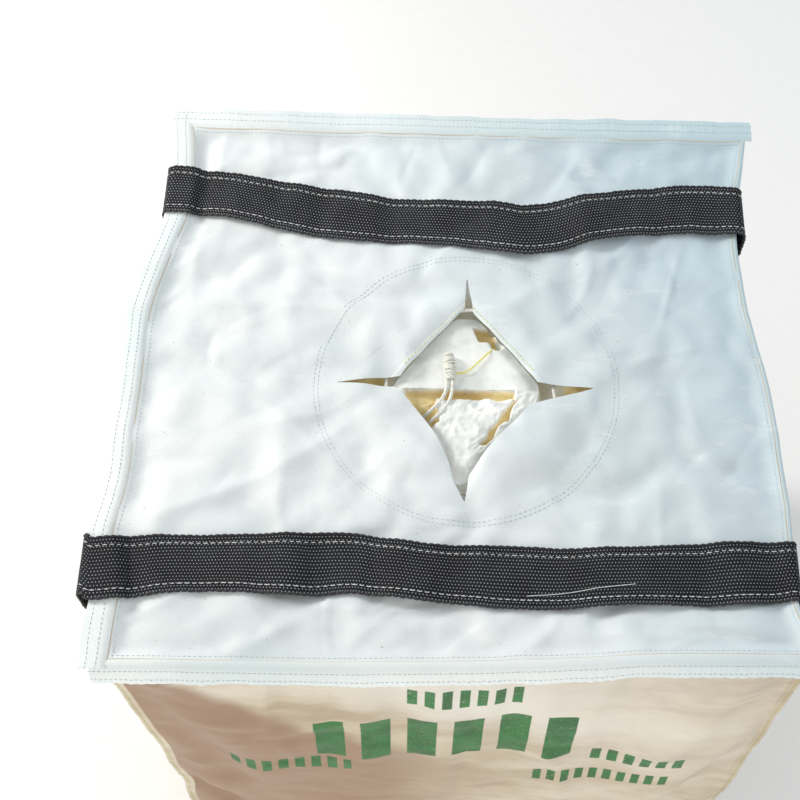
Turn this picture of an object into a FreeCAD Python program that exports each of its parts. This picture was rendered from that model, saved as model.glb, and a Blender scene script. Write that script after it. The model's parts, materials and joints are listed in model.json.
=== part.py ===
import FreeCAD, Part
import math
import os

import Sketcher
from FreeCAD import Placement, Rotation, Vector

# A bulk bag (flexible intermediate bulk container) standing upside down on the rim of its mouth, base up.
# Frame: origin on the floor under the middle of the bag, +X to the right along the lift belts,
# +Y to the back, +Z up. Millimetres and degrees.

SIZES = {
    "base_width": 850,  # the square base, without its seam flanges
    "bag_height": 1100,  # floor to the top face of the base panel
    "fabric": 2,  # woven cloth with its folds and creases
    "hem_reach": 36,  # how far a base seam flange stands out
    "hem_ply": 4,  # folded cloth, four layers
    "folded_hem": 40,  # the right flange, folded down over the wall
    "droop": 45,  # slope of the front flange
    "corner_flange": 15,
    "corner_start": 20,  # the corner seams end this far above the floor
    "corner_stop": 45,  # and this far below the base
    "mouth_fold": 45,  # turned-in cloth at the rim
    "belt_width": 80,
    "belt_ply": 2.5,
    "belt_offset": 281,  # middle of each belt from the middle of the bag
    "belt_end": 15,  # a belt leaves its wall this far above the floor
    "leg_length": 250,  # the loop's free end, sewn back over its belt
    "sewing_gap": 0.3,  # left between layers that lie on each other
    "loop_hinge": 448,  # from the middle of the bag to the bend at the foot of a loop
    "loop_rise": 12.5,  # that bend above the floor
    "loop_root": 4,  # the band starts this far beyond the bend
    "loop_length": 200,
    "loop_lean": 80,  # degrees that a loop is folded up from the floor, against its wall
    "loop_radius": 12.2,  # outer half height of the flattened loop
    "star_shift": -10,  # middle of the discharge star from the middle of the base, along Y
    "slit_half": 178,  # middle of the star to the end of a slit
    "opening_half": 115,  # middle of the star to a corner of the open square
    "petal_ply": 3,
    "petal_gap": 0.5,  # between a petal and its hinge line
    "flange_outer": 216,  # ring of cloth that joins the spout to the base
    "flange_inner": 196,
    "sleeve_top": 214,
    "sleeve_neck": 86,
    "sleeve_depth": 106,
    "bunch_radius": 70,  # the gathered end of the spout
    "bunch_half_depth": 42,
    "bunch_sink": 66,  # its middle below the base
    "closure_ring": 118,
    "closure_cord": 2.5,
    "closure_sink": 9,
    "knot_radius": 7,
    "knot_length": 40,
    "knot_left": 22,
    "knot_front": 10,
    "knot_sink": 20,
    "tail_width": 5,
    "twine_width": 2,
}

# Routes from the middle of the star at the height of the base: right, back, up.
FRONT_TAIL = [
    (-18, 10, -19), (-18, -6, -19), (-23, -24, -16), (-36, -42, -18),
    (-54, -54, -27), (-55, -54.5, -50), (-53, -55, -72), (-53.5, -53.5, -90),
]
SIDE_TAIL = [
    (-26, 10, -19), (-26, -4, -19), (-33, -20, -16), (-46, -34, -19),
    (-61.5, -44.5, -29), (-62.5, -45, -52), (-61, -46.5, -74), (-61.5, -45.5, -92),
]
TWINE = [
    (-15, 22, -20), (-5, 22, -20), (6, 28, -17), (18, 40, -18),
    (30, 54, -24), (39.5, 65, -37), (40, 66.5, -52), (39.5, 66, -66),
]

SIDES = {"left": -1, "right": 1}
ENDS = {"front": -1, "back": 1}
ARC_SHARE = 0.45  # of the shorter run beside a turn

doc = FreeCAD.newDocument("bulk_bag")
sub_parts = []


def fill_sheet():
    """Write the driving dimensions to the sheet, one alias for each."""
    sheet = doc.addObject("Spreadsheet::Sheet", "Sizes")
    for row, (name, value) in enumerate(SIZES.items(), start=1):
        sheet.set(f"A{row}", name)
        sheet.set(f"B{row}", str(value))
        sheet.setAlias(f"B{row}", name)
    doc.recompute()


def bind(thing, **expressions):
    """Bind properties to the sheet; a name such as Placement_Base_x stands for Placement.Base.x."""
    for name, expression in expressions.items():
        thing.setExpression(name.replace("_", "."), expression)


def keep(thing, label):
    """Name a finished sub-part and list it for writing."""
    thing.Label = label
    sub_parts.append(thing)
    return thing


def box(label, length, width, height, x, y, z):
    """A flat piece of cloth or webbing, as a box with its lowest corner at x, y, z."""
    piece = doc.addObject("Part::Box", label)
    bind(piece, Length=length, Width=width, Height=height)
    bind(piece, Placement_Base_x=x, Placement_Base_y=y, Placement_Base_z=z)
    return piece


def outline(sketch, corners):
    """A closed polygon whose corners, given as numbers with their expressions, follow the sheet."""
    count = len(corners)
    points = [Vector(x, y, 0) for x, y, _, _ in corners]
    for i in range(count):
        sketch.addGeometry(Part.LineSegment(points[i], points[(i + 1) % count]))
    for i, (x, y, x_text, y_text) in enumerate(corners):
        sketch.addConstraint(Sketcher.Constraint("Coincident", (i - 1) % count, 2, i, 1))
        across = sketch.addConstraint(Sketcher.Constraint("DistanceX", -1, 1, i, 1, x))
        sketch.setExpression(f"Constraints[{across}]", x_text)
        along = sketch.addConstraint(Sketcher.Constraint("DistanceY", -1, 1, i, 1, y))
        sketch.setExpression(f"Constraints[{along}]", y_text)


def new_sketch(body, name, role):
    """A sketch on one of the body's own origin planes."""
    sketch = body.newObject("Sketcher::SketchObject", name)
    plane = [f for f in body.Origin.OriginFeatures if f.Role == role][0]
    sketch.AttachmentSupport = [(plane, "")]
    sketch.MapMode = "FlatFace"
    return sketch


def base_panel():
    """The square base with the star's open square cut out, corners at the ends of the slits."""
    body = doc.addObject("PartDesign::Body", "base_panel")
    half = SIZES["base_width"] / 2
    square = [
        (sx * half, sy * half, f"{sx} * Sizes.base_width / 2", f"{sy} * Sizes.base_width / 2")
        for sx, sy in ((-1, -1), (1, -1), (1, 1), (-1, 1))
    ]
    reach, shift = SIZES["slit_half"], SIZES["star_shift"]
    star = [
        (sx * reach, sy * reach + shift, f"{sx} * Sizes.slit_half", f"{sy} * Sizes.slit_half + Sizes.star_shift")
        for sx, sy in ((-1, 0), (0, -1), (1, 0), (0, 1))
    ]
    base = new_sketch(body, "base_outline", "XY_Plane")
    outline(base, square)
    pad = body.newObject("PartDesign::Pad", "base_cloth")
    pad.Profile = base
    bind(pad, Length="Sizes.fabric")
    doc.recompute()
    full = pad.Shape.Volume
    hole = new_sketch(body, "star_outline", "XY_Plane")
    outline(hole, star)
    cut = body.newObject("PartDesign::Pocket", "star_cut")
    cut.Profile = hole
    cut.Type = "ThroughAll"
    cut.Reversed = True
    bind(body, Placement_Base_z="Sizes.bag_height - Sizes.fabric")
    doc.recompute()
    assert cut.Shape.Volume < full, "the star is not cut out"
    keep(body, "base_panel")


def walls():
    """Front and back span the corners, left and right fit between them."""
    height = "Sizes.bag_height - Sizes.fabric"
    for end, sign in ENDS.items():
        y = "-Sizes.base_width / 2" if sign < 0 else "Sizes.base_width / 2 - Sizes.fabric"
        name = f"{end}_wall"
        keep(box(name, "Sizes.base_width", "Sizes.fabric", height, "-Sizes.base_width / 2", y, "0"), name)
    for side, sign in SIDES.items():
        x = "-Sizes.base_width / 2" if sign < 0 else "Sizes.base_width / 2 - Sizes.fabric"
        width = "Sizes.base_width - 2 * Sizes.fabric"
        name = f"{side}_wall"
        wall = box(name, "Sizes.fabric", width, height, x, "Sizes.fabric - Sizes.base_width / 2", "0")
        keep(wall, name)


def base_hems():
    """Seam flanges round the base: left and back flat, front drooping, right folded down."""
    half = "Sizes.base_width / 2"
    low = "Sizes.bag_height - Sizes.hem_ply"
    back = box("base_hem_back", "Sizes.base_width", "Sizes.hem_reach", "Sizes.hem_ply", f"-{half}", half, low)
    keep(back, "base_hem_back")
    left = box(
        "base_hem_left", "Sizes.hem_reach", "Sizes.base_width", "Sizes.hem_ply",
        f"-{half} - Sizes.hem_reach", f"-{half}", low,
    )
    keep(left, "base_hem_left")
    right = box(
        "base_hem_right", "Sizes.hem_ply", "Sizes.base_width - 4 * Sizes.hem_ply", "Sizes.folded_hem",
        f"{half} + Sizes.sewing_gap", f"2 * Sizes.hem_ply - {half}", "Sizes.bag_height - Sizes.folded_hem",
    )
    keep(right, "base_hem_right")
    front = box(
        "base_hem_front", "Sizes.base_width", "Sizes.hem_reach / cos(Sizes.droop) - Sizes.hem_ply",
        "Sizes.hem_ply", f"-{half}", f"-{half} - Sizes.hem_ply * sin(Sizes.droop)", "Sizes.bag_height",
    )
    front.Placement.Rotation = Rotation(Vector(1, 0, 0), 180 + SIZES["droop"])
    keep(front, "base_hem_front")


def corner_seams():
    """Upright seam flanges that carry the front and back walls past the corners."""
    height = "Sizes.bag_height - Sizes.corner_start - Sizes.corner_stop"
    for end, back in ENDS.items():
        y = "-Sizes.base_width / 2" if back < 0 else "Sizes.base_width / 2 - Sizes.fabric"
        for side, right in SIDES.items():
            x = "-Sizes.base_width / 2 - Sizes.corner_flange" if right < 0 else "Sizes.base_width / 2"
            name = f"corner_seam_{end}_{side}"
            keep(box(name, "Sizes.corner_flange", "Sizes.fabric", height, x, y, "Sizes.corner_start"), name)


def mouth_hems():
    """The rim of each wall, turned in and sewn to the inside."""
    inner = "(Sizes.base_width / 2 - 2 * Sizes.fabric)"
    for end, back in ENDS.items():
        y = f"-{inner} - Sizes.fabric" if back < 0 else inner
        name = f"mouth_hem_{end}"
        keep(box(name, f"2 * {inner}", "Sizes.fabric", "Sizes.mouth_fold", f"-{inner}", y, "0"), name)
    for side, right in SIDES.items():
        x = f"-{inner} - Sizes.fabric" if right < 0 else inner
        name = f"mouth_hem_{side}"
        keep(box(name, "Sizes.fabric", f"2 * {inner}", "Sizes.mouth_fold", x, f"-{inner}", "0"), name)


def belt(name, middle):
    """One lift belt: up the left wall, round the left flange, over the base and down the right wall."""
    half = "Sizes.base_width / 2"
    gap, ply = "Sizes.sewing_gap", "Sizes.belt_ply"
    y = f"{middle} - Sizes.belt_width / 2"
    left_edge = f"-{half} - Sizes.hem_reach - {gap} - {ply}"
    right_face = f"{half} + Sizes.hem_ply + 2 * {gap}"
    under = f"Sizes.bag_height - Sizes.hem_ply - {gap} - {ply}"
    strips = {
        "over": (f"{right_face} + {ply} - ({left_edge})", ply, left_edge, "Sizes.bag_height"),
        "edge": (ply, f"Sizes.hem_ply + {gap} + 2 * {ply}", left_edge, under),
        "under": (f"Sizes.hem_reach + {ply}", ply, left_edge, under),
        "left_leg": (ply, f"{under} + {ply} - Sizes.belt_end", f"-{half} - {gap} - {ply}", "Sizes.belt_end"),
        "right_leg": (ply, f"Sizes.bag_height + {ply} - Sizes.belt_end", right_face, "Sizes.belt_end"),
    }
    runs = [
        box(f"{name}_{part}", length, "Sizes.belt_width", height, x, y, z)
        for part, (length, height, x, z) in strips.items()
    ]
    joined = doc.addObject("Part::MultiFuse", name)
    joined.Shapes = runs
    joined.Refine = True
    keep(joined, name)


def loop_legs():
    """The end of each loop, brought back and sewn over its belt on the wall."""
    out_left = "-Sizes.base_width / 2 - 2 * Sizes.sewing_gap - 2 * Sizes.belt_ply"
    out_right = "Sizes.base_width / 2 + Sizes.hem_ply + 3 * Sizes.sewing_gap + Sizes.belt_ply"
    for end, back in ENDS.items():
        for side, right in SIDES.items():
            name = f"loop_leg_{end}_{side}"
            leg = box(
                name, "Sizes.belt_ply", "Sizes.belt_width", "Sizes.leg_length",
                out_left if right < 0 else out_right,
                f"{back} * Sizes.belt_offset - Sizes.belt_width / 2", "Sizes.belt_end",
            )
            keep(leg, name)


def band_outline(sketch, radius, radius_text):
    """A flattened ring, two straight runs and two round ends, about the band's own middle line."""
    reach = SIZES["loop_radius"]
    near = SIZES["loop_root"] + reach
    far = SIZES["loop_root"] + SIZES["loop_length"] - reach
    quarter = math.pi / 2
    axis = Vector(0, 0, 1)
    upper = sketch.addGeometry(Part.LineSegment(Vector(near, radius, 0), Vector(far, radius, 0)))
    tip = sketch.addGeometry(Part.ArcOfCircle(Part.Circle(Vector(far, 0, 0), axis, radius), -quarter, quarter))
    lower = sketch.addGeometry(Part.LineSegment(Vector(far, -radius, 0), Vector(near, -radius, 0)))
    root = sketch.addGeometry(Part.ArcOfCircle(Part.Circle(Vector(near, 0, 0), axis, radius), quarter, -quarter))
    for first, first_end, second, second_end in ((upper, 2, tip, 2), (tip, 1, lower, 1), (lower, 2, root, 2),
                                                 (root, 1, upper, 1)):
        sketch.addConstraint(Sketcher.Constraint("Tangent", first, first_end, second, second_end))
    sketch.addConstraint(Sketcher.Constraint("PointOnObject", tip, 3, -1))
    sketch.addConstraint(Sketcher.Constraint("Horizontal", upper))
    size = sketch.addConstraint(Sketcher.Constraint("Radius", tip, radius))
    sketch.setExpression(f"Constraints[{size}]", radius_text)
    middles = (
        (root, near, "Sizes.loop_root + Sizes.loop_radius"),
        (tip, far, "Sizes.loop_root + Sizes.loop_length - Sizes.loop_radius"),
    )
    for curve, value, text in middles:
        place = sketch.addConstraint(Sketcher.Constraint("DistanceX", -1, 1, curve, 3, value))
        sketch.setExpression(f"Constraints[{place}]", text)


def lifting_loops():
    """Four loops of belt, folded up against the left and right walls."""
    for end, back in ENDS.items():
        for side, right in SIDES.items():
            name = f"lifting_loop_{end}_{side}"
            body = doc.addObject("PartDesign::Body", name)
            sketch = new_sketch(body, f"{name}_band", "XZ_Plane")
            band_outline(sketch, SIZES["loop_radius"], "Sizes.loop_radius")
            inner = SIZES["loop_radius"] - SIZES["belt_ply"]
            band_outline(sketch, inner, "Sizes.loop_radius - Sizes.belt_ply")
            pad = body.newObject("PartDesign::Pad", f"{name}_webbing")
            pad.Profile = sketch
            bind(pad, Length="Sizes.belt_width")
            about = Rotation(Vector(0, 0, 1), 0 if right > 0 else 180)
            body.Placement.Rotation = about * Rotation(Vector(0, 1, 0), -SIZES["loop_lean"])
            # a sketch on XZ is padded towards -Y, and a half turn points it to +Y
            bind(
                body,
                Placement_Base_x=f"{right} * Sizes.loop_hinge",
                Placement_Base_y=f"{back} * Sizes.belt_offset + {right} * Sizes.belt_width / 2",
                Placement_Base_z="Sizes.loop_rise",
            )
            keep(body, name)


def petals():
    """The four flaps between the slits, their tips folded under, hinged on the square's sides."""
    root2 = "sqrt(2)"
    for end, back in ENDS.items():
        for side, right in SIDES.items():
            name = f"petal_{end}_{side}"
            petal = doc.addObject("Part::Wedge", name)
            # a petal stands back from its slits by its own thickness, so that it turns past its neighbours
            long_half = f"(Sizes.slit_half / {root2} - Sizes.petal_ply)"
            short_half = f"(Sizes.opening_half / {root2} - Sizes.petal_ply)"
            depth = f"(Sizes.slit_half - Sizes.opening_half) / {root2}"
            bind(petal, Xmin=f"-{long_half}", Xmax=long_half, X2min=f"-{short_half}", X2max=short_half)
            bind(petal, Ymin="Sizes.petal_gap", Ymax=depth)
            bind(petal, Zmin="-Sizes.petal_ply", Zmax="0", Z2min="-Sizes.petal_ply", Z2max="0")
            # local Y points from the hinge to the middle of the star
            turn = math.degrees(math.atan2(right, -back))
            petal.Placement.Rotation = Rotation(Vector(0, 0, 1), turn)
            bind(
                petal,
                Placement_Base_x=f"{right} * Sizes.slit_half / 2",
                Placement_Base_y=f"{back} * Sizes.slit_half / 2 + Sizes.star_shift",
                Placement_Base_z="Sizes.bag_height",
            )
            keep(petal, name)


def round_piece(kind, name, z, **sizes):
    """A round primitive on the star's upright axis."""
    piece = doc.addObject(kind, name)
    bind(piece, **sizes)
    bind(piece, Placement_Base_y="Sizes.star_shift", Placement_Base_z=z)
    return piece


def difference(name, base, tool):
    """What is left of one shape when another is taken out of it."""
    cut = doc.addObject("Part::Cut", name)
    cut.Base = base
    cut.Tool = tool
    keep(cut, name)


def spout():
    """The discharge spout: a sewn ring, a sleeve that narrows below it, and the gathered end."""
    low = "Sizes.bag_height - Sizes.fabric - Sizes.hem_ply / 2"
    rings = [
        round_piece("Part::Cylinder", f"flange_{edge}", low, Radius=f"Sizes.flange_{edge}", Height="Sizes.hem_ply / 2")
        for edge in ("outer", "inner")
    ]
    difference("spout_flange", *rings)
    bottom = f"{low} - Sizes.sleeve_depth"
    cones = [
        round_piece(
            "Part::Cone", f"sleeve_{face}", bottom, Height="Sizes.sleeve_depth",
            Radius1=f"Sizes.sleeve_neck - {ply}", Radius2=f"Sizes.sleeve_top - {ply}",
        )
        for face, ply in (("outside", "0"), ("inside", "Sizes.fabric"))
    ]
    difference("spout_sleeve", *cones)
    bunch = round_piece(
        "Part::Ellipsoid", "spout_end", "Sizes.bag_height - Sizes.bunch_sink",
        Radius1="Sizes.bunch_half_depth", Radius2="Sizes.bunch_radius",
    )
    keep(bunch, "spout_end")
    ring = round_piece(
        "Part::Torus", "closure_cord", "Sizes.bag_height - Sizes.closure_sink",
        Radius1="Sizes.closure_ring", Radius2="Sizes.closure_cord",
    )
    keep(ring, "closure_cord")


def spout_tie():
    """The wrapped knot that ties the gathered spout, lying along Y on top of it."""
    knot = doc.addObject("Part::Cylinder", "spout_tie")
    bind(knot, Radius="Sizes.knot_radius", Height="Sizes.knot_length")
    knot.Placement.Rotation = Rotation(Vector(1, 0, 0), -90)
    bind(
        knot,
        Placement_Base_x="-Sizes.knot_left",
        Placement_Base_y="Sizes.knot_front + Sizes.star_shift",
        Placement_Base_z="Sizes.bag_height - Sizes.knot_sink",
    )
    keep(knot, "spout_tie")


def rounded_path(points):
    """Straight runs joined by tangent arcs through the route, with the radii of the arcs."""
    edges, radii = [], []
    start = points[0]
    for before, corner, after in zip(points, points[1:], points[2:]):
        back, on = (before - corner), (after - corner)
        half_turn = (math.pi - back.getAngle(on)) / 2
        radius = ARC_SHARE * min(back.Length, on.Length) / math.tan(half_turn)
        reach = radius * math.tan(half_turn)
        back.normalize()
        on.normalize()
        first, last = corner + back * reach, corner + on * reach
        bisector = (back + on).normalize()
        middle = corner + bisector * (radius / math.cos(half_turn) - radius)
        edges.append(Part.LineSegment(start, first).toShape())
        edges.append(Part.Arc(first, middle, last).toShape())
        radii.append(round(radius, 1))
        start = last
    edges.append(Part.LineSegment(start, points[-1]).toShape())
    return Part.Wire(edges), radii


def cord(name, route, width_name):
    """A limp cord as a round tube along its route."""
    points = [Vector(*point) for point in route]
    path, radii = rounded_path(points)
    width = SIZES[width_name]
    circle = Part.Circle(points[0], points[1] - points[0], width / 2)
    tube = path.makePipeShell([Part.Wire([circle.toShape()])], True, False)
    section = math.pi * width * width / 4
    print(f"{name}: length {path.Length:.1f}, radii {radii}, volume ratio {tube.Volume / section / path.Length:.4f}")
    piece = doc.addObject("Part::Feature", name)
    piece.Shape = tube
    piece.Placement = Placement(Vector(0, SIZES["star_shift"], SIZES["bag_height"]), Rotation())
    keep(piece, name)


def check_and_write():
    """Stop on any failed object, then write one file for each sub-part."""
    doc.recompute()
    for thing in doc.Objects:
        assert not {"Invalid", "Error"} & set(thing.State), f"{thing.Name} failed: {thing.State}"
    os.makedirs("parts", exist_ok=True)
    for piece in sub_parts:
        assert not piece.Shape.isNull() and piece.Shape.isValid(), f"{piece.Label} has no valid shape"
        assert len(piece.Shape.Solids) == 1, f"{piece.Label} is not one solid"
        piece.Shape.exportStep(f"parts/{piece.Label}.step")
    print(f"{len(sub_parts)} sub-parts written")


fill_sheet()
base_panel()
walls()
base_hems()
corner_seams()
mouth_hems()
for end, back in ENDS.items():
    belt(f"belt_{end}", f"{back} * Sizes.belt_offset")
loop_legs()
lifting_loops()
petals()
spout()
spout_tie()
cord("tie_tail_front", FRONT_TAIL, "tail_width")
cord("tie_tail_side", SIDE_TAIL, "tail_width")
cord("tie_twine", TWINE, "twine_width")
check_and_write()
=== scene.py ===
# %% [markdown]
# # A bulk bag, base up
#
# A bulk bag is a sack for about a tonne of powder or grain. This one stands empty and upside down
# on the rim of its mouth, so its base faces up: white coated cloth with a star of four flaps, over
# which two black belts run from side to side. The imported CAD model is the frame: every place below
# comes from it, and nothing in it is moved.

# %% Load the frame
import json
import math
import random

import bmesh
import bpy
import numpy as np
from mathutils import Matrix, Vector, noise

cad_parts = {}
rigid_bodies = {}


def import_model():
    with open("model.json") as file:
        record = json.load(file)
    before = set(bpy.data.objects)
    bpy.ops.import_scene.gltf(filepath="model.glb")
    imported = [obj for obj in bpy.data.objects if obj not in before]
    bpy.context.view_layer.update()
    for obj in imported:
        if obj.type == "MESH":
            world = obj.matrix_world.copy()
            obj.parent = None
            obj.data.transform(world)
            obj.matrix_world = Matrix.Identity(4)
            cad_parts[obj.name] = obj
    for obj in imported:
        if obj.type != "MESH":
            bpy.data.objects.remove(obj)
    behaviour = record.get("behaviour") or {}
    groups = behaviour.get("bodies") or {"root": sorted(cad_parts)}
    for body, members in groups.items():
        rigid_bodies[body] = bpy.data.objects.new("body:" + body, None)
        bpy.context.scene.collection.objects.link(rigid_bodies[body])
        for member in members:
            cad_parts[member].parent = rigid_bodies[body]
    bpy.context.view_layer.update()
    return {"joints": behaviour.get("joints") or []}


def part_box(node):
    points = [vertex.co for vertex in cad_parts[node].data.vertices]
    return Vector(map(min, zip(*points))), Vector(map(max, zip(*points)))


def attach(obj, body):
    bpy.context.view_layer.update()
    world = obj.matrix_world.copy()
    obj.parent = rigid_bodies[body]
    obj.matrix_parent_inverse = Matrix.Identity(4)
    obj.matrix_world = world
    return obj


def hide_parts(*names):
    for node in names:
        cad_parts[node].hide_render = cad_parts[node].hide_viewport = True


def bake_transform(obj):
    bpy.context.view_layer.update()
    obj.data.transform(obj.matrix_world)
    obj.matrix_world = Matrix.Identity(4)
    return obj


for leftover in list(bpy.data.objects):
    bpy.data.objects.remove(leftover)
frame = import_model()
MM = 0.001
random.seed(7)

# %% [markdown]
# ## Places from the frame
#
# A person who dresses a CAD model first writes down the few places that everything else hangs on.
# Here they are the square base, the middle of the star, the hinges of the flaps, the middle of each
# belt and the foot of each loop.

# %% Read the places
panel_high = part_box("base_panel")[1]
HALF, TOP = panel_high.x, panel_high.z
ring_low, ring_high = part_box("closure_cord")
STAR = Vector(((ring_low.x + ring_high.x) / 2, (ring_low.y + ring_high.y) / 2, TOP))
hinges = {joint["name"]: joint for joint in frame["joints"]}
SLIT = 2 * abs(hinges["petal_front_left_fold"]["pos_m"][0])
SIGN = {"left": -1, "right": 1, "front": -1, "back": 1}
SIDES, ENDS = ("left", "right"), ("front", "back")
BELT = {end: (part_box(f"belt_{end}")[0].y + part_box(f"belt_{end}")[1].y) / 2 for end in ENDS}
BELT_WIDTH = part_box("belt_front")[1].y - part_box("belt_front")[0].y
HEM_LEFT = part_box("base_hem_left")[0].x
HEM_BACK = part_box("base_hem_back")[1].y
LOOP_HINGE = abs(hinges["loop_front_right_swing"]["pos_m"][0])
LOOP_RISE = hinges["loop_front_right_swing"]["pos_m"][2]
# at its limit a loop hangs in line with the wall, so the rest of its swing is how far it leans up
LOOP_LEAN = math.radians(hinges["loop_front_right_swing"]["range_deg"][1] - 90)
LOOP_REACH = (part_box("lifting_loop_front_right")[1].z - LOOP_RISE) / math.sin(LOOP_LEAN)
LEG_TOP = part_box("loop_leg_front_right")[1].z
print(f"half width {HALF:.3f}, top {TOP:.3f}, star at y {STAR.y:.3f}, slits {SLIT:.3f}")

# %% [markdown]
# ## The camera and the light
#
# The bag is looked down on from the front, from about head height. A mild telephoto lens keeps the
# walls nearly upright while they still run together towards the floor. One large soft light high on
# the left and a cooler one on the right give the coated cloth part of its slow change from warm to
# cool; the rest is a bluish skylight tint painted into the coated cloth towards the right.

# %% Set up the camera, the lights and the floor
CAMERA_PLACE = Vector((-0.0571, -0.985, TOP + 1.767))
CAMERA_TURN = (61.83, -2.04, -0.25)  # degrees: down from level, round to the left, roll
LENS = 65.3


def set_camera():
    """A camera that looks down at the base, a little from the left."""
    down, swing, roll = (math.radians(angle) for angle in CAMERA_TURN)
    ahead = Vector((math.sin(swing) * math.cos(down), math.cos(swing) * math.cos(down), -math.sin(down)))
    across = Vector((math.cos(swing), -math.sin(swing), 0))
    above = across.cross(ahead)
    right = across * math.cos(roll) + above * math.sin(roll)
    upward = above * math.cos(roll) - across * math.sin(roll)
    turn = Matrix((right, upward, -ahead)).transposed().to_4x4()
    lens = bpy.data.cameras.new("camera")
    lens.lens = LENS
    lens.sensor_width = 36
    camera = bpy.data.objects.new("camera", lens)
    camera.matrix_world = Matrix.Translation(CAMERA_PLACE) @ turn
    bpy.context.scene.collection.objects.link(camera)
    bpy.context.scene.camera = camera


def area_light(name, place, target, size, power, colour):
    """A large square lamp aimed at a point."""
    lamp = bpy.data.lights.new(name, "AREA")
    lamp.size, lamp.energy, lamp.color = size, power, colour
    light = bpy.data.objects.new(name, lamp)
    aim = (Vector(target) - Vector(place)).to_track_quat("-Z", "Y")
    light.matrix_world = Matrix.Translation(Vector(place)) @ aim.to_matrix().to_4x4()
    bpy.context.scene.collection.objects.link(light)


def set_world(colour, strength):
    """Even pale light from all round."""
    world = bpy.data.worlds.new("studio")
    world.use_nodes = True
    background = world.node_tree.nodes["Background"]
    background.inputs["Color"].default_value = (*colour, 1)
    background.inputs["Strength"].default_value = strength
    bpy.context.scene.world = world


set_camera()
set_world((1.0, 1.0, 1.0), 0.60)
area_light("window", (-2.7, 1.2, 2.35), (0, 0, 1.0), 0.9, 92, (1.0, 0.98, 0.93))
area_light("sky", (2.4, 1.6, 3.0), (0, 0, 1.0), 2.4, 28, (0.72, 0.86, 1.0))
area_light("room", (-0.6, -3.2, 1.6), (0, 0, 0.6), 2.0, 40, (1.0, 0.97, 0.92))
bpy.context.scene.view_settings.view_transform = "Standard"
print("camera, world and three lamps")

# %% [markdown]
# ## Writing shader maths as sums
#
# A procedural material is a formula. Wiring a Math node for every plus and times hides it, so a
# small class wraps a socket and lets Python's own operators add the nodes. `Paint` holds one
# material's tree, and its `node` method makes any other node.

# %% A socket that can be calculated with
class Value:
    """A number that changes over the surface: one output socket with arithmetic."""

    def __init__(self, paint, socket):
        self.paint, self.socket = paint, socket

    def math(self, operation, *others):
        values = dict(enumerate((self, *others)))
        return self.paint.node("ShaderNodeMath", {"operation": operation}, values)["Value"]

    def __add__(self, other):
        return self.math("ADD", other)

    def __mul__(self, other):
        return self.math("MULTIPLY", other)

    def __sub__(self, other):
        return self.math("SUBTRACT", other)

    def __truediv__(self, other):
        return self.math("DIVIDE", other)

    def __rsub__(self, other):
        return self.paint.number("SUBTRACT", other, self)

    __radd__, __rmul__ = __add__, __mul__

    def above(self, edge, width):
        """0 below the edge, 1 above it, smooth over the width."""
        settings = {"interpolation_type": "SMOOTHSTEP"}
        values = {"Value": self, "From Min": edge - width / 2, "From Max": edge + width / 2}
        return self.paint.node("ShaderNodeMapRange", settings, values)["Result"]

    def inside(self, low, high, width):
        """1 between low and high, 0 outside, smooth over the width."""
        return self.above(low, width) * (1 - self.above(high, width))


print("Value is ready")


# %% A material built from such sockets
class Paint:
    """One material and its node tree, from the surface shader back to the patterns."""

    def __init__(self, name):
        self.material = bpy.data.materials.new(name)
        self.material.use_nodes = True
        self.tree = self.material.node_tree
        self.shader = self.tree.nodes["Principled BSDF"]

    def put(self, socket, value):
        if isinstance(value, Value):
            self.tree.links.new(value.socket, socket)
        else:
            socket.default_value = value

    def node(self, kind, settings=None, values=None):
        """Any node: its settings first, then its inputs by name or number; gives its outputs by name."""
        made = self.tree.nodes.new(kind)
        for name, setting in (settings or {}).items():
            setattr(made, name, setting)
        for name, value in (values or {}).items():
            self.put(made.inputs[name], value)
        return {out.name: Value(self, out) for out in made.outputs if out.enabled}

    def number(self, operation, first, second):
        return self.node("ShaderNodeMath", {"operation": operation}, {0: first, 1: second})["Value"]

    def split(self, vector):
        parts = self.node("ShaderNodeSeparateXYZ", values={"Vector": vector})
        return parts["X"], parts["Y"], parts["Z"]

    def place(self):
        return self.node("ShaderNodeTexCoord")["Object"]

    def cloth_place(self):
        return self.node("ShaderNodeUVMap", {"uv_map": "cloth"})["UV"]

    def stretched(self, vector, scale):
        return self.node("ShaderNodeMapping", values={"Vector": vector, "Scale": scale})["Vector"]

    def noise(self, vector, scale, detail=3.0, roughness=0.55):
        values = {"Vector": vector, "Scale": scale, "Detail": detail, "Roughness": roughness}
        return self.node("ShaderNodeTexNoise", values=values)["Fac"]

    def cells(self, vector, scale):
        """Distance to the middle of the nearest of many scattered cells."""
        return self.node("ShaderNodeTexVoronoi", values={"Vector": vector, "Scale": scale})["Distance"]

    def mix(self, share, first, second):
        """A colour between two, by share."""
        made = self.tree.nodes.new("ShaderNodeMix")
        made.data_type = "RGBA"
        for place, value in ((0, share), (6, first), (7, second)):
            colour = value if isinstance(value, (Value, float)) else (*value, 1)
            self.put(made.inputs[place], colour)
        return Value(self, made.outputs[2])

    def bump(self, height, distance, strength=1.0, under=None):
        values = {"Height": height, "Distance": distance, "Strength": strength}
        if under is not None:
            values["Normal"] = under
        return self.node("ShaderNodeBump", values=values)["Normal"]

    def finish(self, **inputs):
        """Feed the surface shader; an underscore stands for a space."""
        for name, value in inputs.items():
            self.put(self.shader.inputs[name.replace("_", " ")], value)
        return self.material


print("Paint is ready")

# %% [markdown]
# ## Coated cloth
#
# The bag is woven from flat plastic tapes about 2.5 mm wide, one over, one under, and coated with
# a thin film that makes it half glossy. Close up the tapes show as a faint basket of grooves; from
# further off, rubbed patches and old creases matter more. The weave follows the cloth's own UV map,
# in metres, and the patches follow the place in the bag, so that neighbouring pieces match.

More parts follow.
